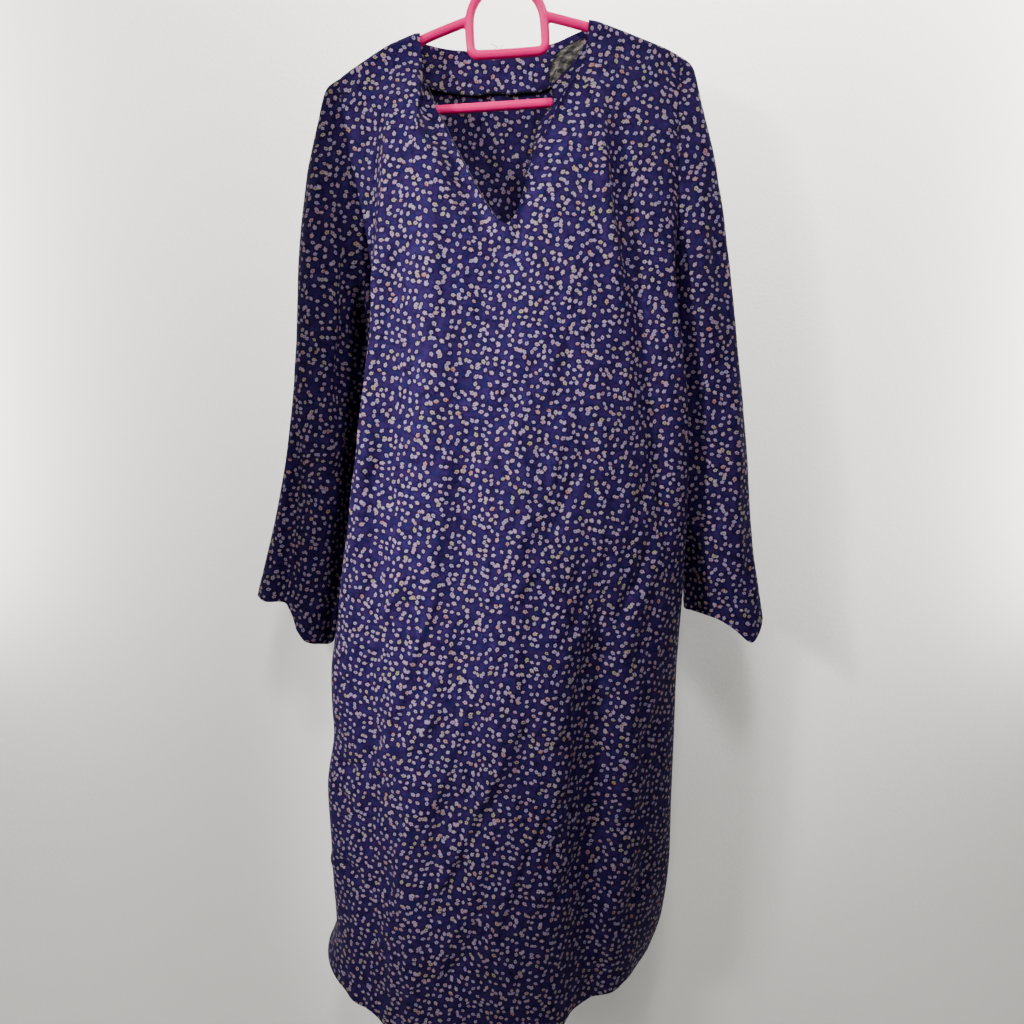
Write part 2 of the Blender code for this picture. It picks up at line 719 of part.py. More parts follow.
# Sleeves: rings fan from the near-upright armhole to the near-level cuff.
def sleeve(name, side, table, folds, cuff):
    front_edge = [armhole(side, share, False) for share in ROWS_ABOVE]
    back_edge = [armhole(side, share, True) for share in ROWS_ABOVE]
    loop = front_edge + back_edge[-2:0:-1]
    count = len(loop)
    half = len(front_edge) - 1
    places = [2 * k / count if k <= half else -2 * (count - k) / count for k in range(count)]
    # Each point of the loop keeps the place along the ring that it has down the armhole.
    spots = [ROWS_ABOVE[k] if k <= half else -ROWS_ABOVE[count - k] for k in range(count)]
    shares = column(table, 0)
    grid = []
    for ring in range(RINGS):
        t = (ring / (RINGS - 1)) ** 1.15
        row = [curve(shares, column(table, k), t) for k in range(1, 9)]
        outer, inner = np.array(row[:3]), np.array(row[3:6])
        even = ease(t / 0.3)
        line = []
        for k in range(count):
            place = spots[k] + (places[k] - spots[k]) * even
            turn = math.pi * abs(place)
            along = (1 - math.cos(turn)) / 2 * even + abs(place) * (1 - even)
            point = outer + (inner - outer) * along
            depth = row[6] if place > 0 else row[7]
            bulge = math.sin(turn) ** (0.5 + 0.25 * ease(t / 0.3)) if 0 < turn < math.pi else 0.0
            front = -1 if place > 0 else 1
            push = 0.0
            for top, top_at, low, low_at, width, height in folds:
                if (top_at < 0) != (place < 0) or t <= top:
                    continue
                share = (t - top) / (low - top)
                if share > 1:
                    continue
                middle = top_at + (low_at - top_at) * share
                fade = ease(share * 4) * (1 if low > 1 else ease((1 - share) * 4))
                push += height * fade * math.exp(-(((place - middle) / width) ** 2))
            point = point + np.array((0.0, front * bulge * (depth + push), 0.0))
            low_edge = curve(column(cuff, 0), column(cuff, 1), place)
            point[2] -= low_edge * ease((t - 0.75) / 0.25)
            line.append(point)
        grid.append(line)
    grid = np.array(grid)
    first = grid[0].copy()
    for ring in range(RINGS):
        t = (ring / (RINGS - 1)) ** 1.15
        hold = 1 - ease(t / 0.22)
        for k in range(count):
            edge = np.array(loop[k])
            grid[ring, k] += (edge - first[k]) * hold
    # The first ring stands clear of the panels' edges, more so where they face the sleeve.
    for k in range(count):
        down = abs(spots[k])
        grid[0, k, 0] += side * (SEAM / 2 + (2.2 * CLOTH if down > 0.7 else 0.6 * CLOTH) * ease(down / 0.3 + 0.3))
    found = normals_of(grid, around=True)
    middle = grid.mean(axis=1, keepdims=True)
    if ((grid - middle) * found).sum() < 0:
        found = -found
    for k in range(count):
        spot = spots[k]
        if abs(spot) < 1e-6:
            found[0, k] = unit((0.4 * side, 0, 1))
        elif abs(spot) < 0.8:
            found[0, k] = unit((0.1 * side, -1 if spot > 0 else 1, 0))
    return shell(name, grid, found, CLOTH, PRINTED, around=True)


sleeve("sleeve_left", -1, SLEEVE_LEFT, SLEEVE_FOLDS_LEFT, CUFF_LEFT)
sleeve("sleeve_right", 1, SLEEVE_RIGHT, SLEEVE_FOLDS_RIGHT, CUFF_RIGHT)

# Back neck facing: lies on the inside of the back panel, from the neck edge down.
clear = CLOTH / 2 + SEAM + FACING / 2 + 0.5
facing_rows = []
neck_at = [j for j, (_, kind, _) in enumerate(back_columns) if kind == "neck"]
under_arm = set(neck_at[:2] + neck_at[-2:])
for k in range(7):
    line = []
    for j in neck_at:
        rows = back_grid[:, j]
        top = rows[0, 2] - 0.6
        low = rows[0, 2] - FACING_DEPTH
        if j in under_arm:
            # The ends of the facing start below the hanger's arm.
            side = -1 if rows[0, 0] < 0 else 1
            top = shoulder_z(side, rows[0, 0]) - 14.0
            low = back_grid[0, neck_at[2] if side < 0 else neck_at[-3], 2] - FACING_DEPTH
        z = top + (low - top) * k / 6
        x = float(np.interp(-z, -rows[:, 2], rows[:, 0]))
        y = float(np.interp(-z, -rows[:, 2], rows[:, 1]))
        line.append((x, y - clear, z))
    facing_rows.append(line)
facing_grid = np.array(facing_rows)
shell("back_neck_facing", facing_grid, same_way(normals_of(facing_grid), 1), FACING, PRINTED_INSIDE)

# Turned-over end of the front facing: a leaf that hangs inside the right edge of the V.
flap_rows = []
for left_x, left_z, right_x, right_z in FLAP_OUTLINE:
    line = []
    for k in range(4):
        share = k / 3
        x = left_x + (right_x + 3.0 - left_x) * share
        z = left_z + (right_z - left_z) * share
        edge_y = float(np.interp(-z, [112.0, 131.0, 148.5, 175.5], [-7.5, -10.0, -14.0, -20.0]))
        y = (edge_y + clear + 0.1) * share + (1 - share) * (edge_y + 8.0)
        line.append((x, y - 2.0 * math.sin(math.pi * share), z))
    flap_rows.append(line)
flap_grid = np.array(flap_rows)
shell("front_facing_flap", flap_grid, same_way(normals_of(flap_grid), -1), FACING, INTERFACING)

# Hanger: loop, arms with the trouser bar, and the hook, joined as one moulding.
radius = (LOOP_WIDTH - BAR) / 2
corner = LOOP_CORNER
loop_path = [(radius * math.cos(a), radius * math.sin(a)) for a in np.linspace(0, math.pi, 19)]
for cx, start in ((-(radius - corner), math.pi), (radius - corner, 1.5 * math.pi)):
    for a in np.linspace(start, start + math.pi / 2, 5):
        loop_path.append((cx + corner * math.cos(a), -(LOOP_DROP - corner) + corner * math.sin(a)))
loop_path = [leaning(*point) for point in loop_path]

arm_path = [(-out, up) for out, up in ARM]
bar_path = [(-153.0 + 306.0 * k / 8, -TROUSER_DROP) for k in range(1, 8)]
arm_path = arm_path + bar_path + [(out, up) for out, up in ARM[::-1]]
arm_path[0] = (-radius, ARM[0][1] + 1.0)
arm_path[-1] = (radius, ARM[0][1] + 1.0)
arm_path = [leaning(*point) for point in arm_path]

hook_radius = (HOOK_INSIDE + BAR) / 2
neck_of_hook = [(0.0, radius), (0.2, radius + 5.0), (2.6, radius + 11.5), (7.4, radius + 17.0)]
turns = np.linspace(math.radians(-54), math.radians(172), 20)
bend = [(hook_radius * math.cos(a), HOOK_RISE + hook_radius * math.sin(a)) for a in turns]
hook_line = [leaning(*point) for point in neck_of_hook + bend]

parts = []
for label, path, closed in (("loop", loop_path, True), ("arms", arm_path, False), ("hook", hook_line, False)):
    mesh = tube(label, path, BAR / 2, 10, closed)
    parts.append(finished(label, mesh, PLASTIC))
hanger = parts[0]
hanger.name = "hanger"
for other in parts[1:]:
    join = hanger.modifiers.new("join_" + other.name, "BOOLEAN")
    join.operation = "UNION"
    join.solver = "EXACT"
    join.object = other
    other.hide_render = True
    other.display_type = "WIRE"
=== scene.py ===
"""Loose long-sleeved tunic with a V neck, in a small all-over print, hanging from a moulded hanger.

Cloth is worked out in millimetres and placed in metres. Left and right are the viewer's, from the front.
"""

import json
import math

import bpy
import numpy as np
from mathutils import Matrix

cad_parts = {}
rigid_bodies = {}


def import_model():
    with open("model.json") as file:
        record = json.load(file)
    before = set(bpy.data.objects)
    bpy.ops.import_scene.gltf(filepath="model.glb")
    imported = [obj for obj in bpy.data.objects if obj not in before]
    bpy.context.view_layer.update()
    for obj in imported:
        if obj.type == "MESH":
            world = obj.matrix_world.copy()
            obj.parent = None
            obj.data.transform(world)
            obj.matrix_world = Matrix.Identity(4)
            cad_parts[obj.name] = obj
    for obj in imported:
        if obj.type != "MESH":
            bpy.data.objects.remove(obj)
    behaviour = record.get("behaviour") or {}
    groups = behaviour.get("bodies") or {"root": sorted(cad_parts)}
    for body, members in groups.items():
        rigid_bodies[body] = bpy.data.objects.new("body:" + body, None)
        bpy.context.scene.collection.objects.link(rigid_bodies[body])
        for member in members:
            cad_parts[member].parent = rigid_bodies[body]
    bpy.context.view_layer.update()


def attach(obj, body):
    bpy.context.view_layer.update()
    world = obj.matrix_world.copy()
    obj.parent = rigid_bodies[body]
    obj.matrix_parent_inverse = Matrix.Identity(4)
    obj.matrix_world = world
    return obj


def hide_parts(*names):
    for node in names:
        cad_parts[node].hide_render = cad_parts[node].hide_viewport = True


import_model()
MM = 0.001

# ---- Where it hangs ------------------------------------------------------------------------------
# A pale plastered wall a hand's breadth behind the garment and a pale floor well below the hem. The
# key lamp stands up and to the left, with weak light from the right, from behind and all round. Six
# more lamps reach nothing but the wall.


def feed(made, inputs):
    """Gives a node's inputs their numbers and colours, or joins them to other nodes' outputs."""
    for key, value in inputs.items():
        socket = made.inputs[key]
        if isinstance(value, bpy.types.NodeSocket):
            made.id_data.links.new(value, socket)
        else:
            socket.default_value = value
    return made


def node(tree, kind, inputs=None, **settings):
    """A new shader node, with its settings and its inputs."""
    made = tree.nodes.new("ShaderNode" + kind)
    for key, value in settings.items():
        setattr(made, key, value)
    return feed(made, inputs or {})


def noise(tree, where, scale, detail, flat=False, **more):
    """Cloudy values in space, or on a flat map."""
    return node(tree, "TexNoise", {"Vector": where, "Scale": scale, "Detail": detail, **more},
                noise_dimensions="2D" if flat else "3D").outputs["Fac"]


def bump(tree, height, strength, distance, **under):
    return node(tree, "Bump", {
        "Height": height, "Strength": strength, "Distance": distance, **under}).outputs["Normal"]


def ramp(tree, value, stops, steps=False):
    """A colour picked by a value: blended between the stops, or in plain steps."""
    made = node(tree, "ValToRGB", {"Fac": value})
    made.color_ramp.interpolation = "CONSTANT" if steps else "LINEAR"
    while len(made.color_ramp.elements) < len(stops):
        made.color_ramp.elements.new(0.5)
    for element, (place, colour) in zip(made.color_ramp.elements, stops):
        element.position = place
        element.color = tuple(colour) + (1.0,)
    return made.outputs["Color"]


def finish_material(name):
    """A material with nothing in it but its Principled shader and its output."""
    made = bpy.data.materials.new(name)
    made.use_nodes = True
    tree = made.node_tree
    return made, tree, tree.nodes["Principled BSDF"]


def deselect():
    for thing in bpy.context.view_layer.objects:
        thing.select_set(False)


def placed(name):
    """The active object, renamed, with its place, turn and scale put into its mesh."""
    thing = bpy.context.view_layer.objects.active
    thing.name = name
    deselect()
    thing.select_set(True)
    bpy.ops.object.transform_apply(location=True, rotation=True, scale=True)
    thing.select_set(False)
    return thing


deselect()
bpy.ops.object.camera_add(location=(0.010, -0.780, -0.4515), rotation=(math.radians(81.0), 0.0, 0.0))
camera = bpy.context.view_layer.objects.active
camera.name = "camera"
camera.data.sensor_width = 36.0
camera.data.lens = 25.98
camera.data.dof.use_dof = False
bpy.context.scene.camera = camera

WALL_Y = 0.078
plaster, tree, shader = finish_material("wall_paint")
where = node(tree, "TexCoord").outputs["Object"]
feed(shader, {
    "Base Color": ramp(tree, noise(tree, where, 3.0, 4.0), [
        (0.0, (0.76, 0.755, 0.73)), (1.0, (0.82, 0.82, 0.80))]),
    "Normal": bump(tree, noise(tree, where, 260.0, 3.0), 0.25, 0.0006),
    "Roughness": 0.9})
# The wall is see-through from behind, so the back of the garment can be looked at.
both = node(tree, "MixShader", {
    "Fac": node(tree, "NewGeometry").outputs["Backfacing"],
    1: shader.outputs["BSDF"],
    2: node(tree, "BsdfTransparent").outputs["BSDF"]})
feed(tree.nodes["Material Output"], {"Surface": both.outputs["Shader"]})

deselect()
bpy.ops.mesh.primitive_plane_add(
    size=6.0, location=(0.0, WALL_Y, -0.2), rotation=(math.radians(90.0), 0, 0))
wall = placed("wall")
wall.data.materials.append(plaster)
wall.visible_shadow = False

screed, tree, shader = finish_material("floor_paint")
feed(shader, {"Base Color": (0.62, 0.61, 0.58, 1), "Roughness": 0.8})
deselect()
bpy.ops.mesh.primitive_plane_add(size=8.0, location=(0.0, 0.0, -1.50))
floor = placed("floor")
floor.data.materials.append(screed)


def lamp(name, place, aim, size, watts, colour, cone=None, only=None, spared=None):
    """A round or oblong soft lamp, or with a cone (angle, narrowness) one that reaches a tall oval.

    It lights all there is, or only one piece, or all but a spared one.
    """
    deselect()
    bpy.ops.object.light_add(type="SPOT" if cone else "AREA", location=place)
    thing = bpy.context.view_layer.objects.active
    thing.name = name
    way = np.array(aim, float) - np.array(place, float)
    flat = math.hypot(way[0], way[1])
    thing.rotation_euler = (math.atan2(flat, -way[2]), 0.0, math.atan2(way[0], -way[1]) + math.pi)
    thing.data.energy = watts
    thing.data.color = colour
    thing.visible_camera = False
    if cone:
        thing.data.shadow_soft_size = size
        thing.data.spot_size = math.radians(cone[0])
        thing.data.spot_blend = 1.0
        thing.scale = (cone[1], 1.0, 1.0)
    elif isinstance(size, tuple):
        thing.data.shape = "RECTANGLE"
        thing.data.size, thing.data.size_y = size
    else:
        thing.data.shape = "DISK"
        thing.data.size = size
    if only or spared:
        reached = bpy.data.collections.new(name + "_reaches")
        reached.objects.link(only or spared)
        if spared:
            reached.collection_objects[0].light_linking.link_state = "EXCLUDE"
        thing.light_linking.receiver_collection = reached


lamp("key", (-1.88, -1.69, 0.21), (0.0, 0.0, -0.42), 0.40, 33.0, (1.0, 0.98, 0.96))
lamp("fill_right", (0.55, -0.85, 0.60), (0.14, 0.0, -0.25), 0.25, 20.0, (1.0, 0.98, 0.98), spared=wall)
for name, place, aim, size, watts, colour in (
    ("wall_front", (0.0, -0.95, 0.75), (0.0, WALL_Y, 0.0), 0.30, 22.0, (1.0, 0.97, 0.93)),
    ("wall_front_high", (0.10, -1.60, 0.90), (0.10, WALL_Y, 0.20), 0.35, 7.0, (1.0, 0.97, 0.93)),
    ("wall_left", (-0.68, -0.05, -0.30), (-0.60, WALL_Y, -0.30), (0.12, 0.8), 4.0, (1.0, 0.98, 0.94)),
    ("wall_right", (0.70, -0.05, -0.30), (0.62, WALL_Y, -0.30), (0.12, 0.8), 4.6, (1.0, 0.98, 0.94)),
    ("wall_top", (0.05, -0.02, 0.45), (0.05, WALL_Y, -0.10), 0.20, 34.0, (1.0, 0.98, 0.95)),
    ("wall_top_right", (0.55, -0.06, 0.40), (0.50, WALL_Y, -0.20), 0.20, 15.0, (1.0, 0.98, 0.95)),
):
    lamp(name, place, aim, size, watts, colour, only=wall)
lamp("behind", (-0.5, 1.7, 0.6), (0.0, 0.0, -0.5), 1.2, 40.0, (1.0, 1.0, 1.0))
world = bpy.data.worlds.new("room")
bpy.context.scene.world = world
world.use_nodes = True
feed(world.node_tree.nodes["Background"], {"Color": (0.9, 0.93, 1.0, 1), "Strength": 0.04})

# ---- Front panel ---------------------------------------------------------------------------------
# The whole front in one piece, cut with a deep V: thin crepe-like polyester, printed all over.
# Joined to the back at the shoulders and sides and to the sleeves at the armholes; its hem is turned up.

LEAN = math.radians(3.5)  # the hanger's right end is the higher one
LOOP_X, LOOP_Z = 5.0, -97.0  # centre of the arch of the hanger's loop
WRAP = 6.4  # from the middle of the hanger's arm to the middle of the cloth over it
CLOTH = 0.6  # thickness of the cloth
OUTSIDE = 0.75  # from the line that the pattern is drawn on to the right side of the cloth
NECK_LEFT, NECK_RIGHT = (-79.0, -108.0), (84.0, -100.0)  # x and z just outside the neck points
FRONT_WIDTH, BACK_WIDTH = 440.0, 380.0  # about how wide the panels are, measured along the cloth
BELOW_ARM = 750.0  # about how long they are from the underarm to the hem
HEM_TURN, HEM_STITCHES, HEM_STEP = 18.0, 18.6, 0.3  # turned-up depth, its stitches, how far it stands out
HEM_ROWS = (1.2, 2.4, 16.5, 18.0, 19.5, 21.0)  # extra rows of points, measured up from the hem's edge

# Middle line of one arm of the hanger, out from the loop.
ARM = [  # out, up
    (41, 4), (60, -2), (83, -9.5), (105, -18.5), (128, -28.5), (150, -38.5), (164, -46.5),
    (168.5, -53), (169, -61), (163.5, -69.5), (153, -73.5),
]
# Edge of the V, from both shoulders down to its lowest point.
V_EDGE = [  # x, y, z
    (-78.8, -4.4, -107.8), (-78.2, -6.7, -112.5), (-77.2, -8, -122), (-75.9, -13, -149),
    (-64.4, -19, -176.5), (-48, -26.3, -210.5), (-31, -33.3, -242.5), (-17, -39.3, -268.5),
    (-5, -43.5, -286), (4.3, -45, -291.5), (10.5, -43.7, -286), (18.5, -39.7, -268),
    (27.5, -32.5, -235.5), (43.8, -25.6, -200), (55, -20, -175.5), (61.8, -17, -162.5),
    (70.8, -14, -148.5), (80.4, -10, -131), (82.2, -8, -112), (83.2, -6.7, -100.5),
    (83.8, -4.4, -95.8),
]
# Armhole seams, from shoulder tip to underarm.
ARMHOLE_LEFT = [  # share, front x, front y, back x, back y
    (0, -157.6, 0, -157.6, 0), (0.009, -157.5, -4.8, -157.6, 4.8),
    (0.03, -157.2, -6.8, -157.6, 6.8), (0.12, -155.5, -8, -158.5, 9), (0.3, -151, -9, -157.5, 12),
    (0.5, -142.5, -9, -151, 14.5), (0.72, -134.5, -8, -142.5, 15), (0.9, -130, -4.5, -133.5, 11.5),
    (1, -128.5, 2, -128.5, 2),
]
ARMHOLE_RIGHT = [
    (0, 172.6, 0, 172.6, 0), (0.009, 172.5, -4.8, 172.6, 4.8), (0.03, 172.4, -6.8, 172.6, 6.8),
    (0.12, 171.8, -9.5, 173, 9), (0.3, 171.5, -14, 173.5, 12), (0.5, 172, -17, 174, 14.5),
    (0.72, 173.5, -16, 174.5, 15), (0.9, 173.5, -8, 174, 11.5), (1, 172, 2, 172, 2),
]
UNDERARM_LEFT, UNDERARM_RIGHT = -362.0, -336.0
SIDE_LEFT = [  # z, x, y
    (-362, -128.5, 2), (-400, -126, 3), (-460, -126.5, 3), (-560, -137, 4), (-640, -149, 5),
    (-705, -162, 6), (-770, -170, 7), (-890, -178, 9), (-1000, -179, 11), (-1150, -188, 14),
]
SIDE_RIGHT = [
    (-336, 172, 2), (-400, 166, 3), (-460, 167, 3), (-560, 174, 4), (-640, 177, 5), (-705, 176, 6),
    (-770, 175, 8), (-890, 176, 11), (-1000, 174, 15), (-1150, 150, 20),
]
# Level sections of the front, at seven places between its side seams.
FRONT_AT = (0.05, 0.12, 0.30, 0.50, 0.70, 0.88, 0.95)
FRONT = [  # z, then x and y at each place
    (-90, -135, -8, -100, -8, -60, -9, 4, -10, 60, -9, 118, -8, 150, -8),
    (-160, -134, -14, -100, -22, -60, -26, 4, -26, 60, -22, 120, -16, 152, -15),
    (-200, -125, -15, -104, -35, -60, -36, 4, -35, 60, -32, 122, -22, 154, -20),
    (-260, -125, -17, -111, -41, -62, -46, 4, -43, 60, -43, 126, -30, 158, -26),
    (-330, -127, -19, -120, -44, -64, -54, 4, -52, 62, -52, 134, -38, 168, -32),
    (-400, -131, -20, -128, -45, -66, -60, 4, -60, 64, -58, 142, -44, 178, -32),
    (-460, -138, -20, -136, -46, -68, -66, 4, -67, 64, -65, 150, -48, 186, -30),
    (-560, -151, -18, -152, -44, -80, -73, 4, -77, 64, -74, 156, -52, 190, -28),
    (-640, -163, -16, -165, -42, -92, -77, 4, -83, 64, -79, 158, -54, 189, -26),
    (-705, -179, -14, -176, -38, -96, -79, 4, -87, 62, -82, 156, -54, 187, -22),
    (-750, -184, -12, -180, -36, -99, -80, 4, -90, 62, -84, 154, -54, 186, -20),
    (-805, -182, -12, -178, -36, -101, -81, 4, -92, 61, -86, 153, -54, 186, -20),
    (-880, -191, -11, -187, -35, -104, -83, 4, -96, 60, -89, 152, -54, 186, -18),
    (-960, -189, -11, -186, -37, -107, -85, 4, -99, 59, -92, 151, -54, 187, -15),
    (-1035, -189, -9, -184, -41, -109, -87, 4, -102, 58, -94, 147, -53, 181, -12),
    (-1085, -203, -6, -192, -38, -111, -88, 4, -103, 57, -95, 138, -51, 166, -10),
    (-1150, -206, -6, -194, -40, -112, -90, 4, -105, 56, -96, 130, -50, 154, -8),
]
FRONT_HEM = [  # share of the way across, z
    (0, -1082), (0.12, -1091), (0.22, -1108), (0.35, -1133), (0.5, -1142), (0.66, -1138),
    (0.73, -1108), (0.88, -1086), (1, -1054),
]
# The broad hang of the front: ridges stand forward, troughs go back.
FRONT_FOLDS = [  # top z, top x, low z, low x, half width, depth
    (-150, -62, -620, -60, 26, 6), (-230, -92, -760, -140, 15, -6), (-520, -40, -1160, -30, 22, -4),
    (-140, 92, -330, 110, 9, 6), (-170, 108, -620, 166, 12, -8), (-300, 20, -900, 10, 24, 3),
    (-560, 58, -1160, 48, 22, 5), (-600, 94, -1160, 84, 24, -12), (-640, 132, -1160, 120, 18, 5),
    (-700, -86, -1160, -92, 24, 5), (-640, -128, -1160, -140, 15, -5), (-230, 10, -420, 4, 14, -4),
]
# The creases of the front, each a line of x and z that it follows, half its width, how far it stands
# forward, its lean (plus: the steep side is to the right) and how sharp its crest is.
FRONT_CREASES = [
    ([(-62, -235), (-65, -312), (-67, -392), (-71, -484), (-75, -571), (-83, -651)], 12, 3.4, 0.3, 0.3),
    ([(-97, -373), (-103, -456), (-109, -562), (-117, -612), (-126, -652), (-143, -714)], 9, -3, -0.3, 0.2),
    ([(-132, -391), (-133, -485), (-139, -574), (-137, -655), (-132, -708)], 7, 3, 0, 0.3),
    ([(-1, -303), (-9, -335), (-14, -372), (-17, -409)], 10, -2.5, 0.2, 0.1),
    ([(86, -161), (91, -178), (96, -221), (100, -266), (104, -290), (108, -321), (112, -377)],
     6, 3.6, 0.4, 0.5),
    ([(97, -165), (105, -231), (114, -299), (135, -360), (147, -427), (159, -496)], 8, -4, -0.3, 0.3),
    ([(136, -474), (147, -534), (157, -607), (161, -657)], 5, 2.4, 0.4, 0.5),
    ([(162, -456), (160, -515), (160, -569)], 5, -2.4, 0, 0.2),
    ([(141, -185), (148, -239), (146, -294)], 13, 3.5, 0, 0),
    ([(61, -560), (66, -660), (58, -760), (60, -855), (50, -970), (44, -1094)], 15, 2.4, 0.3, 0),
    ([(98, -673), (100, -822), (93, -981), (84, -1101)], 16, -3, 0, 0),
    ([(155, -785), (141, -818)], 9, -4, 0, 0.2),
    ([(-101, -642), (-122, -694), (-154, -757)], 8, -3.7, 0.3, 0.3),
    ([(-21, -649), (-39, -700), (-62, -753)], 8, -2.7, 0.3, 0.2),
    ([(-119, -778), (-133, -809), (-147, -838)], 6, -2.9, 0.3, 0.4),
    ([(-33, -910), (-58, -954), (-86, -1000)], 9, -3.4, 0.3, 0.3),
    ([(-2, -958), (-33, -1015), (-65, -1073)], 9, -3.4, 0.3, 0.2),
    ([(119, -746), (103, -762), (89, -778)], 6, -2.4, 0, 0.3),
    ([(155, -872), (129, -895), (103, -918)], 7, -2.5, 0, 0.3),
    ([(-174, -744), (-158, -748), (-146, -757)], 5, -3.8, 0, 0.2),
    ([(-179, -838), (-163, -835), (-149, -841)], 5, -4.4, 0, 0.2),
    ([(-182, -866), (-165, -874), (-152, -885)], 5, -3.8, 0, 0.2),
    ([(-182, -942), (-165, -948), (-146, -962)], 6, -3.4, 0, 0.2),
    ([(17, -391), (23, -475), (22, -572), (14, -694)], 12, 2.2, 0.2, 0.1),
    ([(-32, -475), (-39, -572), (-47, -694)], 9, -2.2, -0.2, 0.1),
    ([(-2, -687), (-8, -790), (-21, -921), (-34, -1059)], 12, 3.2, 0.2, 0.2),
    ([(27, -607), (26, -728), (22, -876), (14, -1035)], 10, -2.8, 0.2, 0.2),
    ([(-82, -753), (-94, -860), (-109, -973), (-119, -1092)], 12, 3.4, -0.2, 0.2),
    ([(-57, -814), (-66, -913), (-82, -1039)], 8, -2.7, 0.2, 0.2),
    ([(131, -676), (135, -761), (134, -872), (128, -988)], 9, 2.6, 0.2, 0.2),
    ([(-93, -617), (-117, -673), (-144, -732)], 5, 4.1, 0.3, 0.6),
    ([(-55, -620), (-89, -711), (-125, -817)], 6, 5.4, 0.3, 0.6),
    ([(-96, -771), (-127, -830), (-163, -899)], 6, 4.6, 0.3, 0.5),
    ([(-1, -685), (-40, -781), (-81, -891)], 6, 4.6, 0.3, 0.6),
    ([(27, -752), (-41, -902), (-82, -990)], 6, 4.9, 0.3, 0.6),
    ([(-7, -899), (-41, -979), (-77, -1064)], 6, 4.1, 0.3, 0.5),
    ([(49, -838), (-1, -972), (-31, -1062)], 7, 4.4, 0.3, 0.5),
    ([(85, -647), (72, -728), (46, -811)], 6, 2.4, 0.3, 0.4),
    ([(135, -649), (119, -711), (98, -753)], 5, 2.2, 0.3, 0.5),
    ([(159, -744), (135, -819), (101, -897)], 6, 2.6, 0.3, 0.5),
    ([(158, -886), (124, -965), (93, -1036)], 6, 2.4, 0.3, 0.4),
    ([(-112, -900), (-140, -957), (-165, -1016)], 6, 2.9, 0.3, 0.4),
    ([(-65, -979), (-104, -1044), (-126, -1092)], 6, 2.9, 0.3, 0.4),
    ([(-31, -475), (-2, -574), (18, -655)], 8, 1.8, 0.2, 0.2),
    ([(55, -391), (80, -485), (96, -572)], 8, -2, 0.2, 0.2),
    ([(-74, -175), (-83, -227), (-88, -298)], 8, 2.2, 0.2, 0.3),
    ([(41, -307), (47, -390), (45, -476)], 9, 1.8, 0.2, 0.2),
]


def curve(knots, values, at):
    """Smooth curve through the values, with the slope at a knot kept under its neighbours'."""
    knots, values, at = np.asarray(knots, float), np.asarray(values, float), np.asarray(at, float)
    if knots[0] > knots[-1]:
        knots, values = knots[::-1], values[::-1]
    at = np.clip(at, knots[0], knots[-1])
    rises = np.diff(values, axis=0) / np.diff(knots).reshape((-1,) + (1,) * (values.ndim - 1))
    before, after = rises[:-1], rises[1:]
    alike = before * after > 0
    inner = np.where(alike, 2 * before * after / np.where(alike, before + after, 1.0), 0.0)
    slopes = np.concatenate([rises[:1], inner, rises[-1:]])
    k = np.clip(np.searchsorted(knots, at) - 1, 0, len(knots) - 2)
    h = np.diff(knots)[k]
    t = (at - knots[k]) / h

    def pick(table, which):
        return table[which] if table.ndim == 1 else np.take_along_axis(table, which[None], axis=0)[0]

    return ((2 * t**3 - 3 * t**2 + 1) * pick(values, k) + (t**3 - 2 * t**2 + t) * h * pick(slopes, k)
            + (3 * t**2 - 2 * t**3) * pick(values, k + 1) + (t**3 - t**2) * h * pick(slopes, k + 1))


def column(table, place):
    return [row[place] for row in table]


def ease(share):
    share = np.clip(share, 0.0, 1.0)
    return share * share * (3 - 2 * share)


def leaning(out, up):
    """A point of the hanger's own axes, as x and z."""
    return (
        LOOP_X + out * math.cos(LEAN) - up * math.sin(LEAN),
        LOOP_Z + out * math.sin(LEAN) + up * math.cos(LEAN),
    )


def shoulder_line(side):
    """The shoulder seam over one arm, as x and z, from left to right."""
    outs, ups = column(ARM[:7], 0), column(ARM[:7], 1)
    out = np.linspace(60.0, 164.0, 60)
    up = curve(outs, ups, out)
    slope = (curve(outs, ups, out + 1) - curve(outs, ups, out - 1)) / 2
    long = np.hypot(1, slope)
    up = up + (3.0 if side < 0 else 0.0) * np.exp(-(((out - 115.0) / 24.0) ** 2))
    x, z = leaning(side * (out - slope / long * WRAP), up + WRAP / long)
    order = np.argsort(x)
    return x[order], z[order]


SHOULDER = {side: shoulder_line(side) for side in (-1, 1)}


def shoulder_z(x):
    """Height of the shoulder seam on the side that x is on."""
    return np.where(np.asarray(x) < 2.5, np.interp(x, *SHOULDER[-1]), np.interp(x, *SHOULDER[1]))


def armhole(side, share, back):
    """x, y and z of the armhole seam at a share of its way down, on the front or the back half."""
    table = ARMHOLE_LEFT if side < 0 else ARMHOLE_RIGHT
    low = UNDERARM_LEFT if side < 0 else UNDERARM_RIGHT
    top = float(shoulder_z(table[0][1]))
    shares = column(table, 0)
    return (
        curve(shares, column(table, 3 if back else 1), share),
        curve(shares, column(table, 4 if back else 2), share),
        top + (low - top) * np.asarray(share, float),
    )


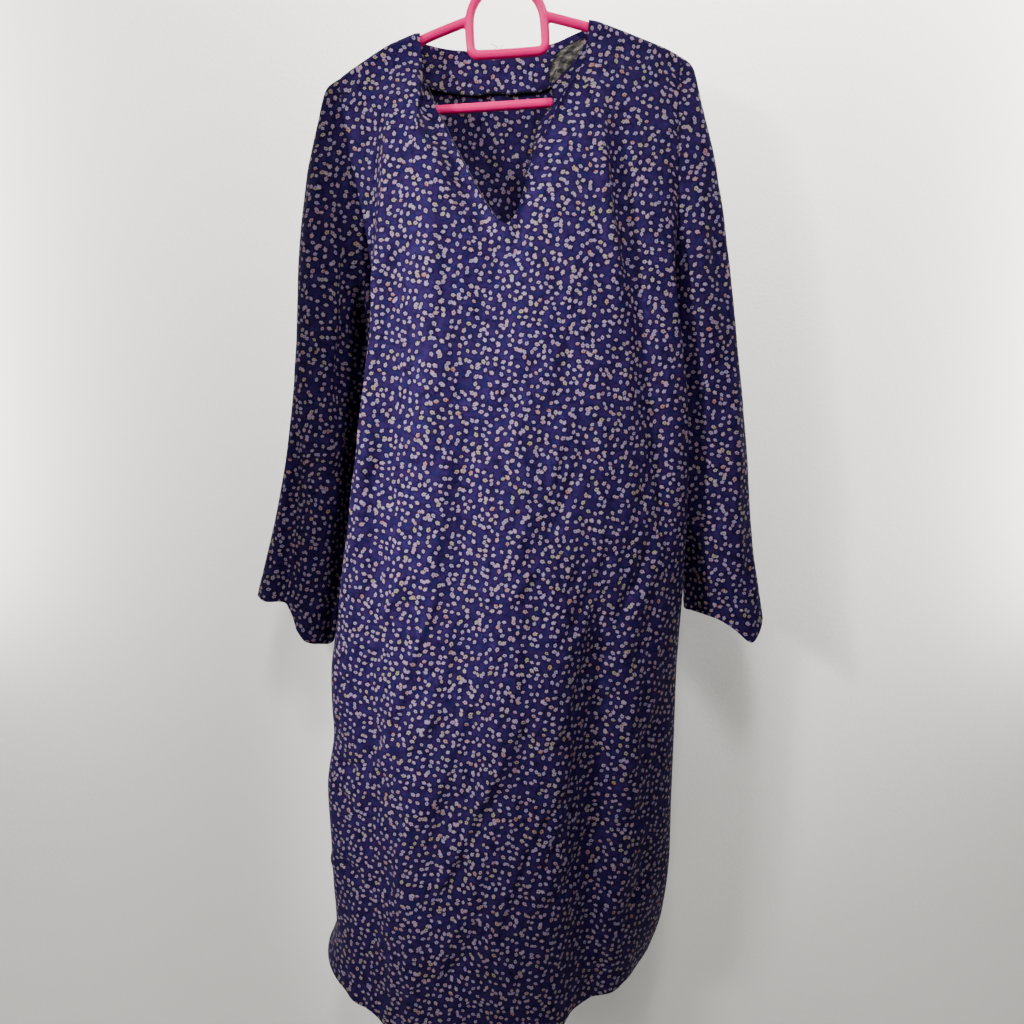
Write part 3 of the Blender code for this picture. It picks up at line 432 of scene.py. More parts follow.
def side_edge(side, z, back):
    """x and y of a panel's side edge at a height."""
    table = SIDE_LEFT if side < 0 else SIDE_RIGHT
    low = table[0][0]
    top = float(armhole(side, 0.0, back)[2])
    x, y, _ = armhole(side, np.clip((z - top) / (low - top), 0.0, 1.0), back)
    under = z <= low
    zs = column(table, 0)
    # Below the underarm the seam wanders a little.
    uneven = 1.3 * np.sin(z / 9.5 + 2.2 * np.sin(z / 41.0)) + 0.9 * np.sin(z / 4.6 + side)
    uneven = uneven + 2.2 * np.sin(z / 27.0 + side + 1.3 * np.sin(z / 60.0))
    return (
        np.where(under, curve(zs, column(table, 1), z) + side * uneven * ease((low - z) / 60.0), x),
        np.where(under, curve(zs, column(table, 2), z), y),
    )


def fold_sum(folds, x, z):
    """How far the broad folds together push the cloth out at each x and z."""
    total = np.zeros_like(x)
    for top_z, top_x, low_z, low_x, half, depth in folds:
        share = (z - top_z) / (low_z - top_z)
        middle = top_x + (low_x - top_x) * share
        fade = ease(share * 5) * (1 if low_z < -1150 else ease((1 - share) * 5))
        total = total + depth * fade * np.exp(-(((x - middle) / half) ** 2))
    return total


def crease_sum(creases, x, z):
    """How far the cloth stands out at each x and z, by all the creases together."""
    total = np.zeros_like(x)
    for line, half, depth, lean, sharp in creases:
        line = np.array(line, float)
        run = np.concatenate([[0.0], np.cumsum(np.hypot(*np.diff(line, axis=0).T))])
        fine = np.linspace(0.0, run[-1], 6 * len(line))
        line = np.stack([curve(run, line[:, 0], fine), curve(run, line[:, 1], fine)], axis=1)
        reach = 2.6 * half  # nothing is left of a crease further off
        low, high = line.min(axis=0) - reach, line.max(axis=0) + reach
        near = (x > low[0]) & (x < high[0]) & (z > low[1]) & (z < high[1])
        if not near.any():
            continue
        px, pz = x[near], z[near]
        best = np.full(px.shape, 1e9)
        aside, along = np.zeros_like(px), np.zeros_like(px)
        for a, b, start, stop in zip(line[:-1], line[1:], fine[:-1], fine[1:]):
            way = b - a
            t = np.clip(((px - a[0]) * way[0] + (pz - a[1]) * way[1]) / (stop - start) ** 2, 0, 1)
            dx, dz = px - a[0] - t * way[0], pz - a[1] - t * way[1]
            far = np.hypot(dx, dz)
            closer = far < best
            best = np.where(closer, far, best)
            aside = np.where(closer, np.sign(dz * way[0] - dx * way[1]), aside)
            along = np.where(closer, (start + t * (stop - start)) / run[-1], along)
        s = best / half * np.where(aside > 0, 1 + 0.6 * lean, 1 - 0.6 * lean)
        shape = (1 - sharp) * np.exp(-(s**2)) + sharp * np.exp(-2.0 * (np.sqrt(s**2 + 0.09) - 0.3))
        total[near] += depth * ease(along * 4) * ease((1 - along) * 4) * shape
    return total


def slack(seed, x, z, count, box, slope=0.25, lean=-0.12, strength=1.0, narrow=3.5, wide=9.0):
    """The small uneven rumples of cloth that hangs free, all of them shallow and mostly lengthwise."""
    dice = np.random.default_rng(seed)
    total = np.zeros_like(x)
    for _ in range(count):
        cx, cz = dice.uniform(box[0], box[1]), dice.uniform(box[2], box[3])
        turn = dice.normal(0.0, slope) + lean
        half, long = dice.uniform(narrow, wide), dice.uniform(3.5, 9.0) * (narrow + wide) / 1.5
        depth = dice.choice((-1.0, 1.0)) * dice.uniform(0.25, 0.95) * half / 7.0 * strength
        dx, dz = x - cx, z - cz
        across = dx * math.cos(turn) + dz * math.sin(turn)
        along = -dx * math.sin(turn) + dz * math.cos(turn)
        across = across + 0.004 * dice.uniform(-1, 1) * along**2 / 4
        total += depth * np.exp(-np.sqrt((across / half) ** 4 + 0.02) - (along / long) ** 2)
    return total


def front_base(u, z):
    """Point of the front's level section: u runs from the left side seam to the right one."""
    levels = column(FRONT, 0)
    left, right = side_edge(-1, z, False), side_edge(1, z, False)
    xs = [left[0]] + [curve(levels, column(FRONT, 1 + 2 * k), z) for k in range(7)] + [right[0]]
    ys = [left[1]] + [curve(levels, column(FRONT, 2 + 2 * k), z) for k in range(7)] + [right[1]]
    places = (0.0,) + FRONT_AT + (1.0,)
    x, y = curve(places, np.array(xs), u), curve(places, np.array(ys), u)
    return x, y - ease(np.minimum(u, 1 - u) / 0.05) * fold_sum(FRONT_FOLDS, x, z)


HALVINGS = 30  # enough for a search by halves to settle


def share_at(base, x, z):
    """The u whose point of the section at this height has this x."""
    x, z = np.asarray(x, float), np.asarray(z, float)
    low, high = np.full(x.shape, 0.02), np.full(x.shape, 0.98)
    for _ in range(HALVINGS):
        middle = (low + high) / 2
        short = base(middle, z)[0] < x
        low, high = np.where(short, middle, low), np.where(short, high, middle)
    return (low + high) / 2


def wrapped(drop, outward):
    """Distance from the hanger's plane at a drop below a shoulder seam."""
    over = np.sqrt(np.maximum(WRAP**2 - (WRAP - np.minimum(drop, WRAP)) ** 2, 0.0))
    hang = WRAP + (np.maximum(outward, WRAP) - WRAP) * ease((drop - WRAP) / 55.0)
    return np.where(drop >= WRAP, hang, over)


def cut_columns(base, sides_left, sides_right, neck, step, pointed=None):
    """Where the panel's columns run: their u, how far each is the neck edge's, its top point there."""
    us = list(sides_left) + [float(share_at(base, *NECK_LEFT))]
    first = len(us)
    us += [float(share_at(base, p[0], p[2])) for p in neck]
    last = len(us) - 1
    us += [float(share_at(base, *NECK_RIGHT))] + list(sides_right)
    middle, least = len(us) // 2, 0.009
    for k in range(middle, 0, -1):
        us[k - 1] = min(us[k - 1], us[k] - least)
    for k in range(middle, len(us) - 1):
        us[k + 1] = max(us[k + 1], us[k] + least)
    # Between those, even columns about a step apart, as measured along the edge they hang from.
    us[0], us[-1] = 0.0, 1.0
    at = [0.0]
    neck = np.array(neck)
    for k in range(len(us) - 1):
        wide = FRONT_WIDTH * (us[k + 1] - us[k])
        if first <= k < last:
            wide = max(wide, 0.8 * np.linalg.norm(neck[k + 1 - first] - neck[k - first]))
        parts = max(1, int(round(wide / step)))
        at += [k + (j + 1) / parts for j in range(parts)]
    at = np.array(at)
    u = np.interp(at, np.arange(len(us)), us)
    share = np.interp(at, [first - 1, first, last, last + 1], [0, 1, 1, 0])
    spot = np.clip(at - first, 0, len(neck) - 1)
    low = pointed or len(neck) - 1
    order = np.arange(len(neck))
    tops = np.stack([
        np.where(spot <= low, curve(order[: low + 1], neck[: low + 1, k], spot),
                 curve(order[low:], neck[low:, k], spot) if pointed else 0.0)
        for k in range(3)], axis=1)
    return u, share, tops, us[1], us[-2]


def low_line(u):
    """The level that the rows beside the armholes end at."""
    return UNDERARM_LEFT + (UNDERARM_RIGHT - UNDERARM_LEFT) * u


def beside_armhole(count):
    """Shares of the way down an armhole, closest together at the shoulder."""
    shares = (0.0, 0.009, 0.03, 0.07, 0.13, 0.21, 0.31, 0.42, 0.54, 0.66, 0.78, 0.90, 1.0)
    return np.interp(np.linspace(0, 12, count), np.arange(13), shares)


def panel(base, sign, cut, hem, rows_above, rows_below):
    """Grid of the panel's drawn surface, in millimetres. The sign is -1 for the front."""
    u, to_neck, tops, second, second_last = cut
    z_top = np.full(u.shape, -130.0)
    for _ in range(HALVINGS):
        z_top = shoulder_z(base(u, z_top)[0])
    above = beside_armhole(rows_above)
    below = np.linspace(0, 1, rows_below + 1)[1:]
    below = np.sort(np.concatenate([below, 1 - np.array(HEM_ROWS) / BELOW_ARM]))
    low, end = low_line(u), curve(column(hem, 0), column(hem, 1), u)

    def heights(top):
        return np.concatenate([
            top + (low - top) * above[:, None],
            low + (end - low) * below[:, None],
        ])

    wide = np.broadcast_to(u, (len(above) + len(below), len(u)))
    upper = (np.arange(len(wide)) < len(above))[:, None]
    z = heights(z_top)
    x, y = base(wide, z)
    y = np.where(upper, sign * np.maximum(wrapped(z_top - z, sign * y), 0.0), y)
    hung = np.stack([x, y, z], axis=2)
    # The side edges are the armhole and side seams themselves.
    for side, last, weight in (
        (-1, 0, ease(1 - u / second)),
        (1, -1, ease((u - second_last) / (1 - second_last))),
    ):
        edge = np.stack(armhole(side, above, sign > 0), axis=1)
        off = np.zeros_like(hung[:, 0])
        off[: len(above)] = edge - hung[: len(above), last]
        hung = hung + off[:, None, :] * weight[None, :, None]
    # Under the neck edge the columns start at the edge itself.
    z = heights(tops[:, 2])
    x, y = base(wide, z)
    drop = tops[:, 2] - z
    x = np.where(drop < 40, tops[:, 0] + (x - tops[:, 0]) * ease(drop / 40.0), x)
    y = tops[:, 1] + (y - tops[:, 1]) * ease(drop / 60.0)
    over = np.where(drop > 0, wrapped(np.maximum(shoulder_z(x) - z, 0.0), WRAP), 0.0)
    y = sign * np.maximum(sign * y, over)
    necked = np.stack([x, y, z], axis=2)
    share = to_neck[None, :, None]
    return hung * (1 - share) + necked * share, len(above)


def normals_of(grid, around=False):
    """Unit normals of a grid of points by central differences."""
    down = np.gradient(grid, axis=0)
    if around:
        across = (np.roll(grid, -1, axis=1) - np.roll(grid, 1, axis=1)) / 2
    else:
        across = np.gradient(grid, axis=1)
    found = np.cross(across, down)
    return found / np.maximum(np.linalg.norm(found, axis=2, keepdims=True), 1e-9)


def unit(vector):
    vector = np.asarray(vector, float)
    return vector / np.linalg.norm(vector, axis=-1, keepdims=True)


def panel_normals(grid, sign, to_neck, above):
    """The panel's normals, outwards, with both panels' alike along the seams that join them."""
    found = normals_of(grid)
    if found[:, :, 1].mean() * sign < 0:
        found = -found
    slope = (shoulder_z(grid[0, :, 0] + 2) - shoulder_z(grid[0, :, 0] - 2)) / 4
    seam = unit(np.stack([-slope, np.zeros_like(slope), np.ones_like(slope)], axis=1))
    found[0] = np.where(to_neck[:, None] < 0.5, seam, found[0])
    for j, side in ((0, -1), (-1, 1)):
        found[1:above, j] = unit((0.1 * side, sign, 0))
        found[int(0.8 * above):above, j] = unit((side, 1.2 * sign, 0))
        found[above:, j] = unit((side, 0.0, 0))
    return found


def lengths(grid, middle_row, middle_column):
    """The cloth's own flat measure of each point in millimetres: along its row, and down its column."""
    step = np.diff(grid, axis=1)
    across = np.cumsum(np.hypot(step[:, :, 0], step[:, :, 1]), axis=1)
    across = np.concatenate([np.zeros((len(grid), 1)), across], axis=1)
    across = across - across[:, middle_column][:, None]
    step = np.diff(grid, axis=0)
    down = np.cumsum(np.hypot(step[:, :, 1], step[:, :, 2]), axis=0)
    down = np.concatenate([np.zeros((1, grid.shape[1])), down], axis=0)
    down = -down + down[middle_row] + grid[middle_row, :, 2]
    return across, down


def cloth_piece(name, grid, flat, materials, around=False, thick=CLOTH):
    """A cloth surface on a grid of points of its right side, with its flat measure as a UV map."""
    rows, columns = grid.shape[:2]
    last = columns if around else columns - 1
    i, j = np.meshgrid(np.arange(rows - 1), np.arange(last), indexing="ij")
    i, j = i.ravel(), j.ravel()
    corners = np.stack([i * columns + j, i * columns + (j + 1) % columns,
                        (i + 1) * columns + (j + 1) % columns, (i + 1) * columns + j], axis=1)
    measure = np.stack([flat[0], flat[1]], axis=2)
    if around:
        girth = np.stack([flat[2], 0 * flat[2]], axis=1)[:, None]
        measure = np.concatenate([measure, measure[:, :1] + girth], axis=1)
    uv = np.stack([measure[i, j], measure[i, j + 1], measure[i + 1, j + 1], measure[i + 1, j]], axis=1)
    points = grid.reshape(-1, 3)
    a, b, c = points[corners[:, 0]], points[corners[:, 1]], points[corners[:, 3]]
    facing = np.cross(b - a, c - a)
    if around:
        turned = ((a - grid.mean(axis=1)[i]) * facing).sum() < 0
    else:
        turned = (grid[:, :, 1].mean() < 0) == (facing[:, 1].sum() > 0)
    if turned:
        corners, uv = corners[:, ::-1], uv[:, ::-1]
    mesh = bpy.data.meshes.new(name)
    mesh.from_pydata((points * MM).tolist(), [], corners.tolist())
    layer = mesh.uv_layers.new(name="cloth")
    layer.data.foreach_set("uv", (uv.reshape(-1, 2) * MM).astype(np.float32).ravel())
    mesh.polygons.foreach_set("use_smooth", np.ones(len(corners), bool))
    thing = bpy.data.objects.new(name, mesh)
    bpy.context.scene.collection.objects.link(thing)
    for material in materials:
        mesh.materials.append(material)
    wall_of = thing.modifiers.new("thickness", "SOLIDIFY")
    wall_of.thickness = thick * MM
    wall_of.offset = -1.0
    wall_of.material_offset = 1 if len(materials) > 1 else 0
    return thing


def maths(tree, operation, a, b=0.0):
    return node(tree, "Math", {0: a, 1: b}, operation=operation).outputs[0]


def blend_colour(tree, share, first, second, kind="MIX"):
    inputs = {0: share, 6: first, 7: second}
    return node(tree, "Mix", inputs, data_type="RGBA", blend_type=kind).outputs[2]


def step_down(tree, value, start, stop):
    """One below the start, nought above the stop, and smooth between."""
    return node(tree, "MapRange", {
        "Value": value, "From Min": start, "From Max": stop, "To Min": 1.0, "To Max": 0.0},
        interpolation_type="SMOOTHSTEP").outputs["Result"]


def buds(tree, where, pitch, turned, offset, reach, kept):
    """One scatter of little five-lobed buds: the bud, its dark rim, heart, sides and chances."""

    def times(a, b):
        return maths(tree, "MULTIPLY", a, b)

    def plus(a, b):
        return maths(tree, "ADD", a, b)

    flat = node(tree, "Mapping", {
        "Vector": where, "Scale": (1000.0 / pitch,) * 3, "Rotation": (0, 0, turned),
        "Location": offset}).outputs["Vector"]
    cells = node(tree, "TexVoronoi", {"Vector": flat, "Scale": 1.0, "Randomness": 0.68},
                 voronoi_dimensions="2D", feature="F1")
    middle = cells.outputs["Position"]
    away = node(tree, "VectorMath", {0: flat, 1: middle}, operation="SUBTRACT").outputs["Vector"]
    chance = node(tree, "SeparateColor", {"Color": cells.outputs["Color"]}).outputs
    angle = plus(times(noise(tree, middle, 0.16, 0.0, True), 9.0), times(chance["Red"], 2.2))
    turn = node(tree, "VectorRotate", {"Vector": away, "Angle": angle}, rotation_type="Z_AXIS")
    part = node(tree, "SeparateXYZ", {"Vector": turn.outputs["Vector"]}).outputs
    size = times(plus(times(chance["Blue"], 0.30), 0.84), reach)
    # Five lobes, longer on one side, on a slightly oblong bud.
    bearing = maths(tree, "ARCTAN2", part["Y"], part["X"])
    uneven = plus(times(maths(tree, "COSINE", bearing), 0.14), 0.13)
    lobes = times(maths(tree, "COSINE", times(bearing, 5.0)), uneven)
    tip = times(maths(tree, "COSINE", times(bearing, 2.0)), 0.13)
    length = node(tree, "VectorMath", {0: away}, operation="LENGTH").outputs["Value"]
    plain = maths(tree, "DIVIDE", length, size)
    far = maths(tree, "DIVIDE", plain, plus(plus(lobes, tip), 1.0))
    there = maths(tree, "LESS_THAN", chance["Green"], kept)
    bud = times(step_down(tree, far, 0.66, 1.14), there)
    rim = times(step_down(tree, far, 1.10, 2.00), there)
    heart = times(step_down(tree, plain, 0.10, 0.44), maths(tree, "GREATER_THAN", chance["Red"], 0.50))
    side = step_down(tree, maths(tree, "DIVIDE", part["Y"], size), -0.25, 0.35)
    warm = times(maths(tree, "GREATER_THAN", noise(tree, middle, 0.21, 1.0, True), 0.60), 0.30)
    other = maths(tree, "MINIMUM", plus(chance["Red"], warm), 0.99)
    return bud, rim, heart, side, chance["Blue"], other


def crepe(tree, where, strength):
    """The pebbled face of crepe with its fine warp and weft, and the small rumples of worn cloth."""
    grains = []
    for scale in ((3400.0, 900.0, 1.0), (900.0, 3400.0, 1.0)):
        drawn_out = node(tree, "Mapping", {"Vector": where, "Scale": scale}).outputs["Vector"]
        grains.append(noise(tree, drawn_out, 1.0, 1.0, True))
    fine = bump(tree, maths(tree, "ADD", *grains), strength, 0.00012)
    return bump(tree, noise(tree, where, 62.0, 3.0, True, Distortion=0.6), 0.55, 0.0022, Normal=fine)


def printed(name, light):
    """Navy crepe with little pale buds, all its colours scaled by the given light: higher for the right
    side, lower for the wrong side, whose darker copy is painted shade for the inside of the garment.
    """
    made, tree, shader = finish_material(name)
    where = node(tree, "UVMap", uv_map="cloth").outputs["UV"]
    drift = noise(tree, where, 90.0, 4.0, True, Roughness=0.7)
    hue = noise(tree, where, 170.0, 2.0, True)
    ground = ramp(tree, drift, [
        (0.32, (0.0056, 0.0031, 0.0185)), (0.50, (0.0118, 0.0061, 0.0385)),
        (0.68, (0.0198, 0.0106, 0.065))])
    ground = blend_colour(tree, step_down(tree, hue, 0.34, 0.44), ground, (0.0074, 0.0070, 0.045, 1))
    ground = blend_colour(tree, step_down(tree, maths(tree, "SUBTRACT", 1.0, hue), 0.38, 0.46),
                          ground, (0.0150, 0.0066, 0.043, 1))
    shades = [
        (0.00, (0.210, 0.160, 0.205)), (0.22, (0.190, 0.145, 0.255)), (0.46, (0.165, 0.140, 0.270)),
        (0.64, (0.222, 0.183, 0.205)), (0.80, (0.215, 0.135, 0.195)), (0.93, (0.220, 0.125, 0.120)),
        (0.975, (0.185, 0.175, 0.105))]
    second = [
        (0.00, (0.190, 0.140, 0.220)), (0.45, (0.210, 0.128, 0.170)), (0.62, (0.180, 0.148, 0.245)),
        (0.92, (0.225, 0.095, 0.075)), (0.96, (0.195, 0.175, 0.110))]
    laid = [buds(tree, where, 7.5, 0.3, (0.0, 0.0, 0.0), 0.270, 0.97),
            buds(tree, where, 16.5, 0.9, (31.3, 17.9, 0.0), 0.125, 0.55)]
    dark = maths(tree, "MAXIMUM", laid[0][1], laid[1][1])
    colour = blend_colour(tree, maths(tree, "MULTIPLY", dark, 0.72), ground, (0.0028, 0.0014, 0.0075, 1))
    for bud, _, heart, side, one, other in laid[::-1]:
        tint = blend_colour(tree, side, ramp(tree, one, shades, True), ramp(tree, other, second, True))
        tint = blend_colour(tree, heart, tint, (0.030, 0.016, 0.040, 1))
        colour = blend_colour(tree, maths(tree, "MULTIPLY", bud, 0.95), colour, tint)
    feed(shader, {
        "Base Color": blend_colour(tree, 1.0, colour, (light, light, light, 1), "MULTIPLY"),
        "Roughness": 0.52, "IOR": 1.18, "Specular IOR Level": 0.10, "Specular Tint": (0.62, 0.45, 1.0, 1),
        "Normal": crepe(tree, where, 0.5)})
    return made


# The wrong side is the same print painted darker: painted shade on the inner faces of the panels and
# sleeves, and on the facing inside the V.
PRINT = printed("printed_crepe", 0.90)
PRINT_IN_PAINTED_SHADE = printed("printed_crepe_wrong_side_painted_shade", 0.60)


def hem_band(grid, normals, from_edge):
    """The turned-up hem stands a little proud, with the line of its stitches pressed in above it."""
    depth = np.where(from_edge < HEM_TURN, HEM_STEP, 0.0)
    depth = depth - 0.45 * np.exp(-(((from_edge - HEM_STITCHES) / 1.1) ** 2))
    return grid + normals * depth[:, :, None]


def right_side(grid, normals, u, push, width, hem):
    """The panel's outer face, with its creases, its puckered side seams and its hem."""
    x, z = grid[:, :, 0], grid[:, :, 2]
    from_seam = np.minimum(u, 1 - u) * width
    pucker = 0.5 * np.sin(z / 4.3 + 2.0 * np.sin(z / 37.0)) * np.exp(-((from_seam - 4.0) / 5.0) ** 2)
    sunk = 0.5 * np.exp(-((from_seam / 1.6) ** 2))
    push = push + (pucker - sunk) * ease((shoulder_z(x) - z - 10.0) / 30.0)
    outer = grid + normals * (OUTSIDE + push)[:, :, None]
    return hem_band(outer, normals, z - curve(column(hem, 0), column(hem, 1), u))


front_cut = cut_columns(
    front_base, (0.0, 0.02, 0.04, 0.06, 0.085, 0.12, 0.165),
    (0.795, 0.825, 0.855, 0.88, 0.91, 0.935, 0.96, 0.98, 1.0), V_EDGE, 3.15, pointed=9)
front_grid, front_above = panel(front_base, -1, front_cut, FRONT_HEM, 62, 212)
front_normals = panel_normals(front_grid, -1, front_cut[1], front_above)
u = np.broadcast_to(front_cut[0], front_grid.shape[:2])
x, z = front_grid[:, :, 0], front_grid[:, :, 2]
free = ease((np.minimum(u, 1 - u) - 0.05) / 0.07) * ease((shoulder_z(x) - z - 12.0) / 40.0)
push = crease_sum(FRONT_CREASES, x, z) * free
push = push + slack(11, x, z, 340, (-190, 185, -1140, -150), strength=2.0) * free
push = push + slack(17, x, z, 190, (-185, 160, -1130, -520), 0.24, -0.34, 4.4, 3.0, 6.0) * free
front_outer = right_side(front_grid, front_normals, u, push, FRONT_WIDTH, FRONT_HEM)
front_flat = lengths(front_grid, front_above, front_cut[0].searchsorted(0.5))
front = cloth_piece("tunic_front", front_outer, front_flat, [PRINT, PRINT_IN_PAINTED_SHADE])
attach(front, "root")
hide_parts("front_panel")

# ---- Back panel ----------------------------------------------------------------------------------
# The whole back in one piece of the same cloth, with a shallow neck; shorter at the hem than the front.

BACK_NECK = [  # x, y, z
    (-78.6, 4.4, -107.8), (-77.2, 7, -110.5), (-68, 11, -112), (-45, 14, -114.5), (-22, 15, -115),
    (5, 15, -114.5), (28, 15, -112.5), (50, 14, -108.5), (68, 11, -102.5), (82.2, 7, -97.6),
    (83.4, 4.4, -95.8),
]
BACK_DEPTH = [  # z, y
    (-90, 9), (-130, 15), (-200, 17), (-330, 22), (-460, 26), (-640, 30), (-890, 35), (-1150, 40),
]
BACK_HEM = [  # share of the way across, z
    (0, -1082), (0.3, -1098), (0.7, -1092), (1, -1054),
]
BACK_FOLDS = [  # top z, top x, low z, low x, half width, depth; ridges stand out to the rear
    (-200, -70, -1160, -84, 20, 6), (-260, -20, -1160, -30, 22, -5), (-190, 36, -1160, 30, 18, 6),
    (-300, 86, -1160, 96, 22, -5), (-420, -120, -1160, -136, 16, -4),
    (-420, 128, -1160, 140, 16, 5),
]
BACK_CREASES = [
    ([(-70, -190), (-74, -330), (-78, -520), (-84, -700)], 11, 3, 0.3, 0.3),
    ([(-46, -240), (-44, -380), (-50, -560)], 9, -2.6, 0, 0.1),
    ([(-8, -180), (-4, -300), (-10, -470), (-16, -640)], 12, 2.4, -0.3, 0.2),
    ([(36, -200), (34, -360), (30, -560), (34, -760)], 10, 3.2, 0.3, 0.3),
    ([(62, -220), (66, -370), (62, -540)], 8, -2.6, 0.2, 0.2),
    ([(104, -170), (108, -290), (118, -430), (122, -600)], 9, 3, 0.4, 0.4),
    ([(136, -230), (140, -380), (134, -520)], 8, -2.8, 0, 0.2),
    ([(-112, -200), (-106, -330), (-110, -480)], 9, 2.8, -0.3, 0.3),
    ([(-140, -520), (-146, -640), (-150, -800)], 8, -2.4, 0, 0.1),
    ([(-122, -640), (-104, -690), (-78, -740)], 8, -2.6, 0.3, 0.3),
    ([(-96, -760), (-100, -880), (-108, -1040)], 11, 3, 0.2, 0.2),
    ([(-58, -720), (-60, -860), (-66, -1060)], 10, -2.8, 0, 0.2),
    ([(-22, -700), (-28, -840), (-30, -1050)], 12, 2.6, 0.3, 0.2),
    ([(12, -780), (8, -900), (2, -1070)], 9, -2.8, 0, 0.2),
    ([(52, -700), (48, -850), (44, -1060)], 11, 3, 0.3, 0.3),
    ([(84, -660), (88, -820), (86, -1010)], 10, -3, 0, 0.1),
    ([(126, -640), (130, -780), (128, -990)], 10, 2.8, 0.3, 0.3),
    ([(150, -600), (128, -650), (104, -690)], 7, -2.4, 0, 0.3),
    ([(-30, -880), (4, -930), (36, -970)], 8, -2.2, 0, 0.2),
    ([(160, -860), (136, -900), (112, -930)], 7, -2.2, 0, 0.3),
]


def back_base(u, z):
    """Point of the back's level section, which is flat in the middle and curves in to the side seams."""
    left, right = side_edge(-1, z, True), side_edge(1, z, True)
    depth = curve(column(BACK_DEPTH, 0), column(BACK_DEPTH, 1), z)
    width = right[0] - left[0]
    places = (0.0, 0.04, 0.14, 0.5, 0.86, 0.96, 1.0)
    xs = [left[0], left[0] + 0.022 * width, left[0] + 0.115 * width, (left[0] + right[0]) / 2,
          right[0] - 0.115 * width, right[0] - 0.022 * width, right[0]]
    near_left, near_right = (edge[1] + (depth - edge[1]) * 0.62 for edge in (left, right))
    ys = [left[1], near_left, depth * 0.96, depth, depth * 0.96, near_right, right[1]]
    x, y = curve(places, np.array(xs), u), curve(places, np.array(ys), u)
    return x, y + ease(np.minimum(u, 1 - u) / 0.08) * fold_sum(BACK_FOLDS, x, z)


back_cut = cut_columns(
    back_base, (0.0, 0.02, 0.05, 0.09, 0.14, 0.19), (0.81, 0.86, 0.91, 0.95, 0.98, 1.0), BACK_NECK, 2.7)
back_grid, back_above = panel(back_base, 1, back_cut, BACK_HEM, 56, 130)
back_normals = panel_normals(back_grid, 1, back_cut[1], back_above)
u = np.broadcast_to(back_cut[0], back_grid.shape[:2])
x, z = back_grid[:, :, 0], back_grid[:, :, 2]
free = ease((np.minimum(u, 1 - u) - 0.04) / 0.07) * ease((shoulder_z(x) - z - 14.0) / 50.0)
push = crease_sum(BACK_CREASES, x, z)
push = (push + slack(29, x, z, 300, (-190, 185, -1100, -150), strength=1.6)) * free
back_outer = right_side(back_grid, back_normals, u, push, BACK_WIDTH, BACK_HEM)
across, down = lengths(back_grid, back_above, back_cut[0].searchsorted(0.5))
BACK_FROM = 613.0  # from where the front is cut to where the back is cut, across the printed cloth
back = cloth_piece("tunic_back", back_outer, (across + BACK_FROM, down), [PRINT, PRINT_IN_PAINTED_SHADE])
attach(back, "root")
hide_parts("back_panel")

# ---- Sleeves -------------------------------------------------------------------------------------
# Two long straight sleeves of the same cloth, each a tube set into its armhole and open at the cuff,
# where a narrow hem is turned up. They hang flat, with the inner side partly behind the front.

SLEEVE_LEFT = [  # share, outer x, y, z, inner x, y, z, depth to the front, depth to the back
    (0, -159, 0, -149.5, -131, 2, -362, 13, 15),
    (0.06, -172, 0.5, -158, -132.6, 2.5, -380, 15, 16),
    (0.15, -181, 1, -188, -133.2, 3, -408, 19, 18),
    (0.28, -193, 2, -242, -135, 4, -450, 24, 20),
    (0.42, -203, 3, -312, -141, 5, -502, 26, 21),
    (0.58, -212, 4, -420, -151, 6, -566, 27, 22),
    (0.72, -226, 5, -515, -163, 5, -618, 28, 22),
    (0.86, -244, 6, -592, -174, 3, -666, 29, 22),
    (1, -264, 8, -664, -184, 0, -711, 30, 22),
]
SLEEVE_RIGHT = [
    (0, 174.2, 0, -129, 174, 2, -336, 16, 15),
    (0.06, 186, 0.5, -137, 175.5, 2.5, -352, 19, 18),
    (0.15, 195, 1, -168, 177, 3, -380, 20, 18),
    (0.28, 210, 2, -226, 178, 4, -424, 24, 20),
    (0.42, 224.5, 3, -300, 182, 5, -476, 26, 21),
    (0.58, 241, 3, -410, 189, 6, -540, 27, 22),
    (0.72, 254, 3, -506, 194, 8, -592, 28, 22),
    (0.86, 264.5, 2, -602, 198, 11, -640, 29, 22),
    (1, 279.5, 0, -685, 202, 14, -684, 29, 20),
]
# Broad folds of the sleeves. The place is 0 on the outer line, 1 on the inner line over the front and -1
# over the back.
SLEEVE_FOLDS_LEFT = [  # top share, top place, low share, low place, half width, depth outwards
    (0.1, 0.22, 0.55, 0.24, 0.13, 4), (0.05, 0.77, 0.66, 0.75, 0.125, -24),
    (0.5, 0.76, 1.05, 0.8, 0.11, -17), (0.12, 0.54, 0.9, 0.54, 0.09, 4),
    (0.45, 0.7, 0.95, 0.72, 0.15, 5), (0.62, 0.26, 1.05, 0.47, 0.1, -13),
    (0.15, -0.35, 0.8, -0.45, 0.14, -5), (0.35, -0.7, 1.05, -0.62, 0.14, 4),
]
SLEEVE_FOLDS_RIGHT = [
    (0.08, 0.5, 0.6, 0.45, 0.14, 4), (0.2, 0.78, 0.75, 0.72, 0.12, -5),
    (0.7, 1, 1.05, 0.78, 0.18, -17), (0.6, 0.3, 1.05, 0.36, 0.12, 5),
    (0.15, -0.4, 0.85, -0.38, 0.14, -5), (0.4, -0.72, 1.05, -0.66, 0.14, 4),
]
# How far the cuff's edge dips below the straight line between its ends.
CUFF_LEFT = [  # place, drop
    (-1, 0), (-0.5, 4), (0, 0), (0.22, -2), (0.44, -11), (0.54, 7), (0.62, 15), (0.78, 13), (1, 0),
]
CUFF_RIGHT = [
    (-1, 0), (-0.5, 3), (0, 0), (0.16, 15), (0.3, 26), (0.46, 12), (0.6, 4), (0.8, 1), (1, 0),
]
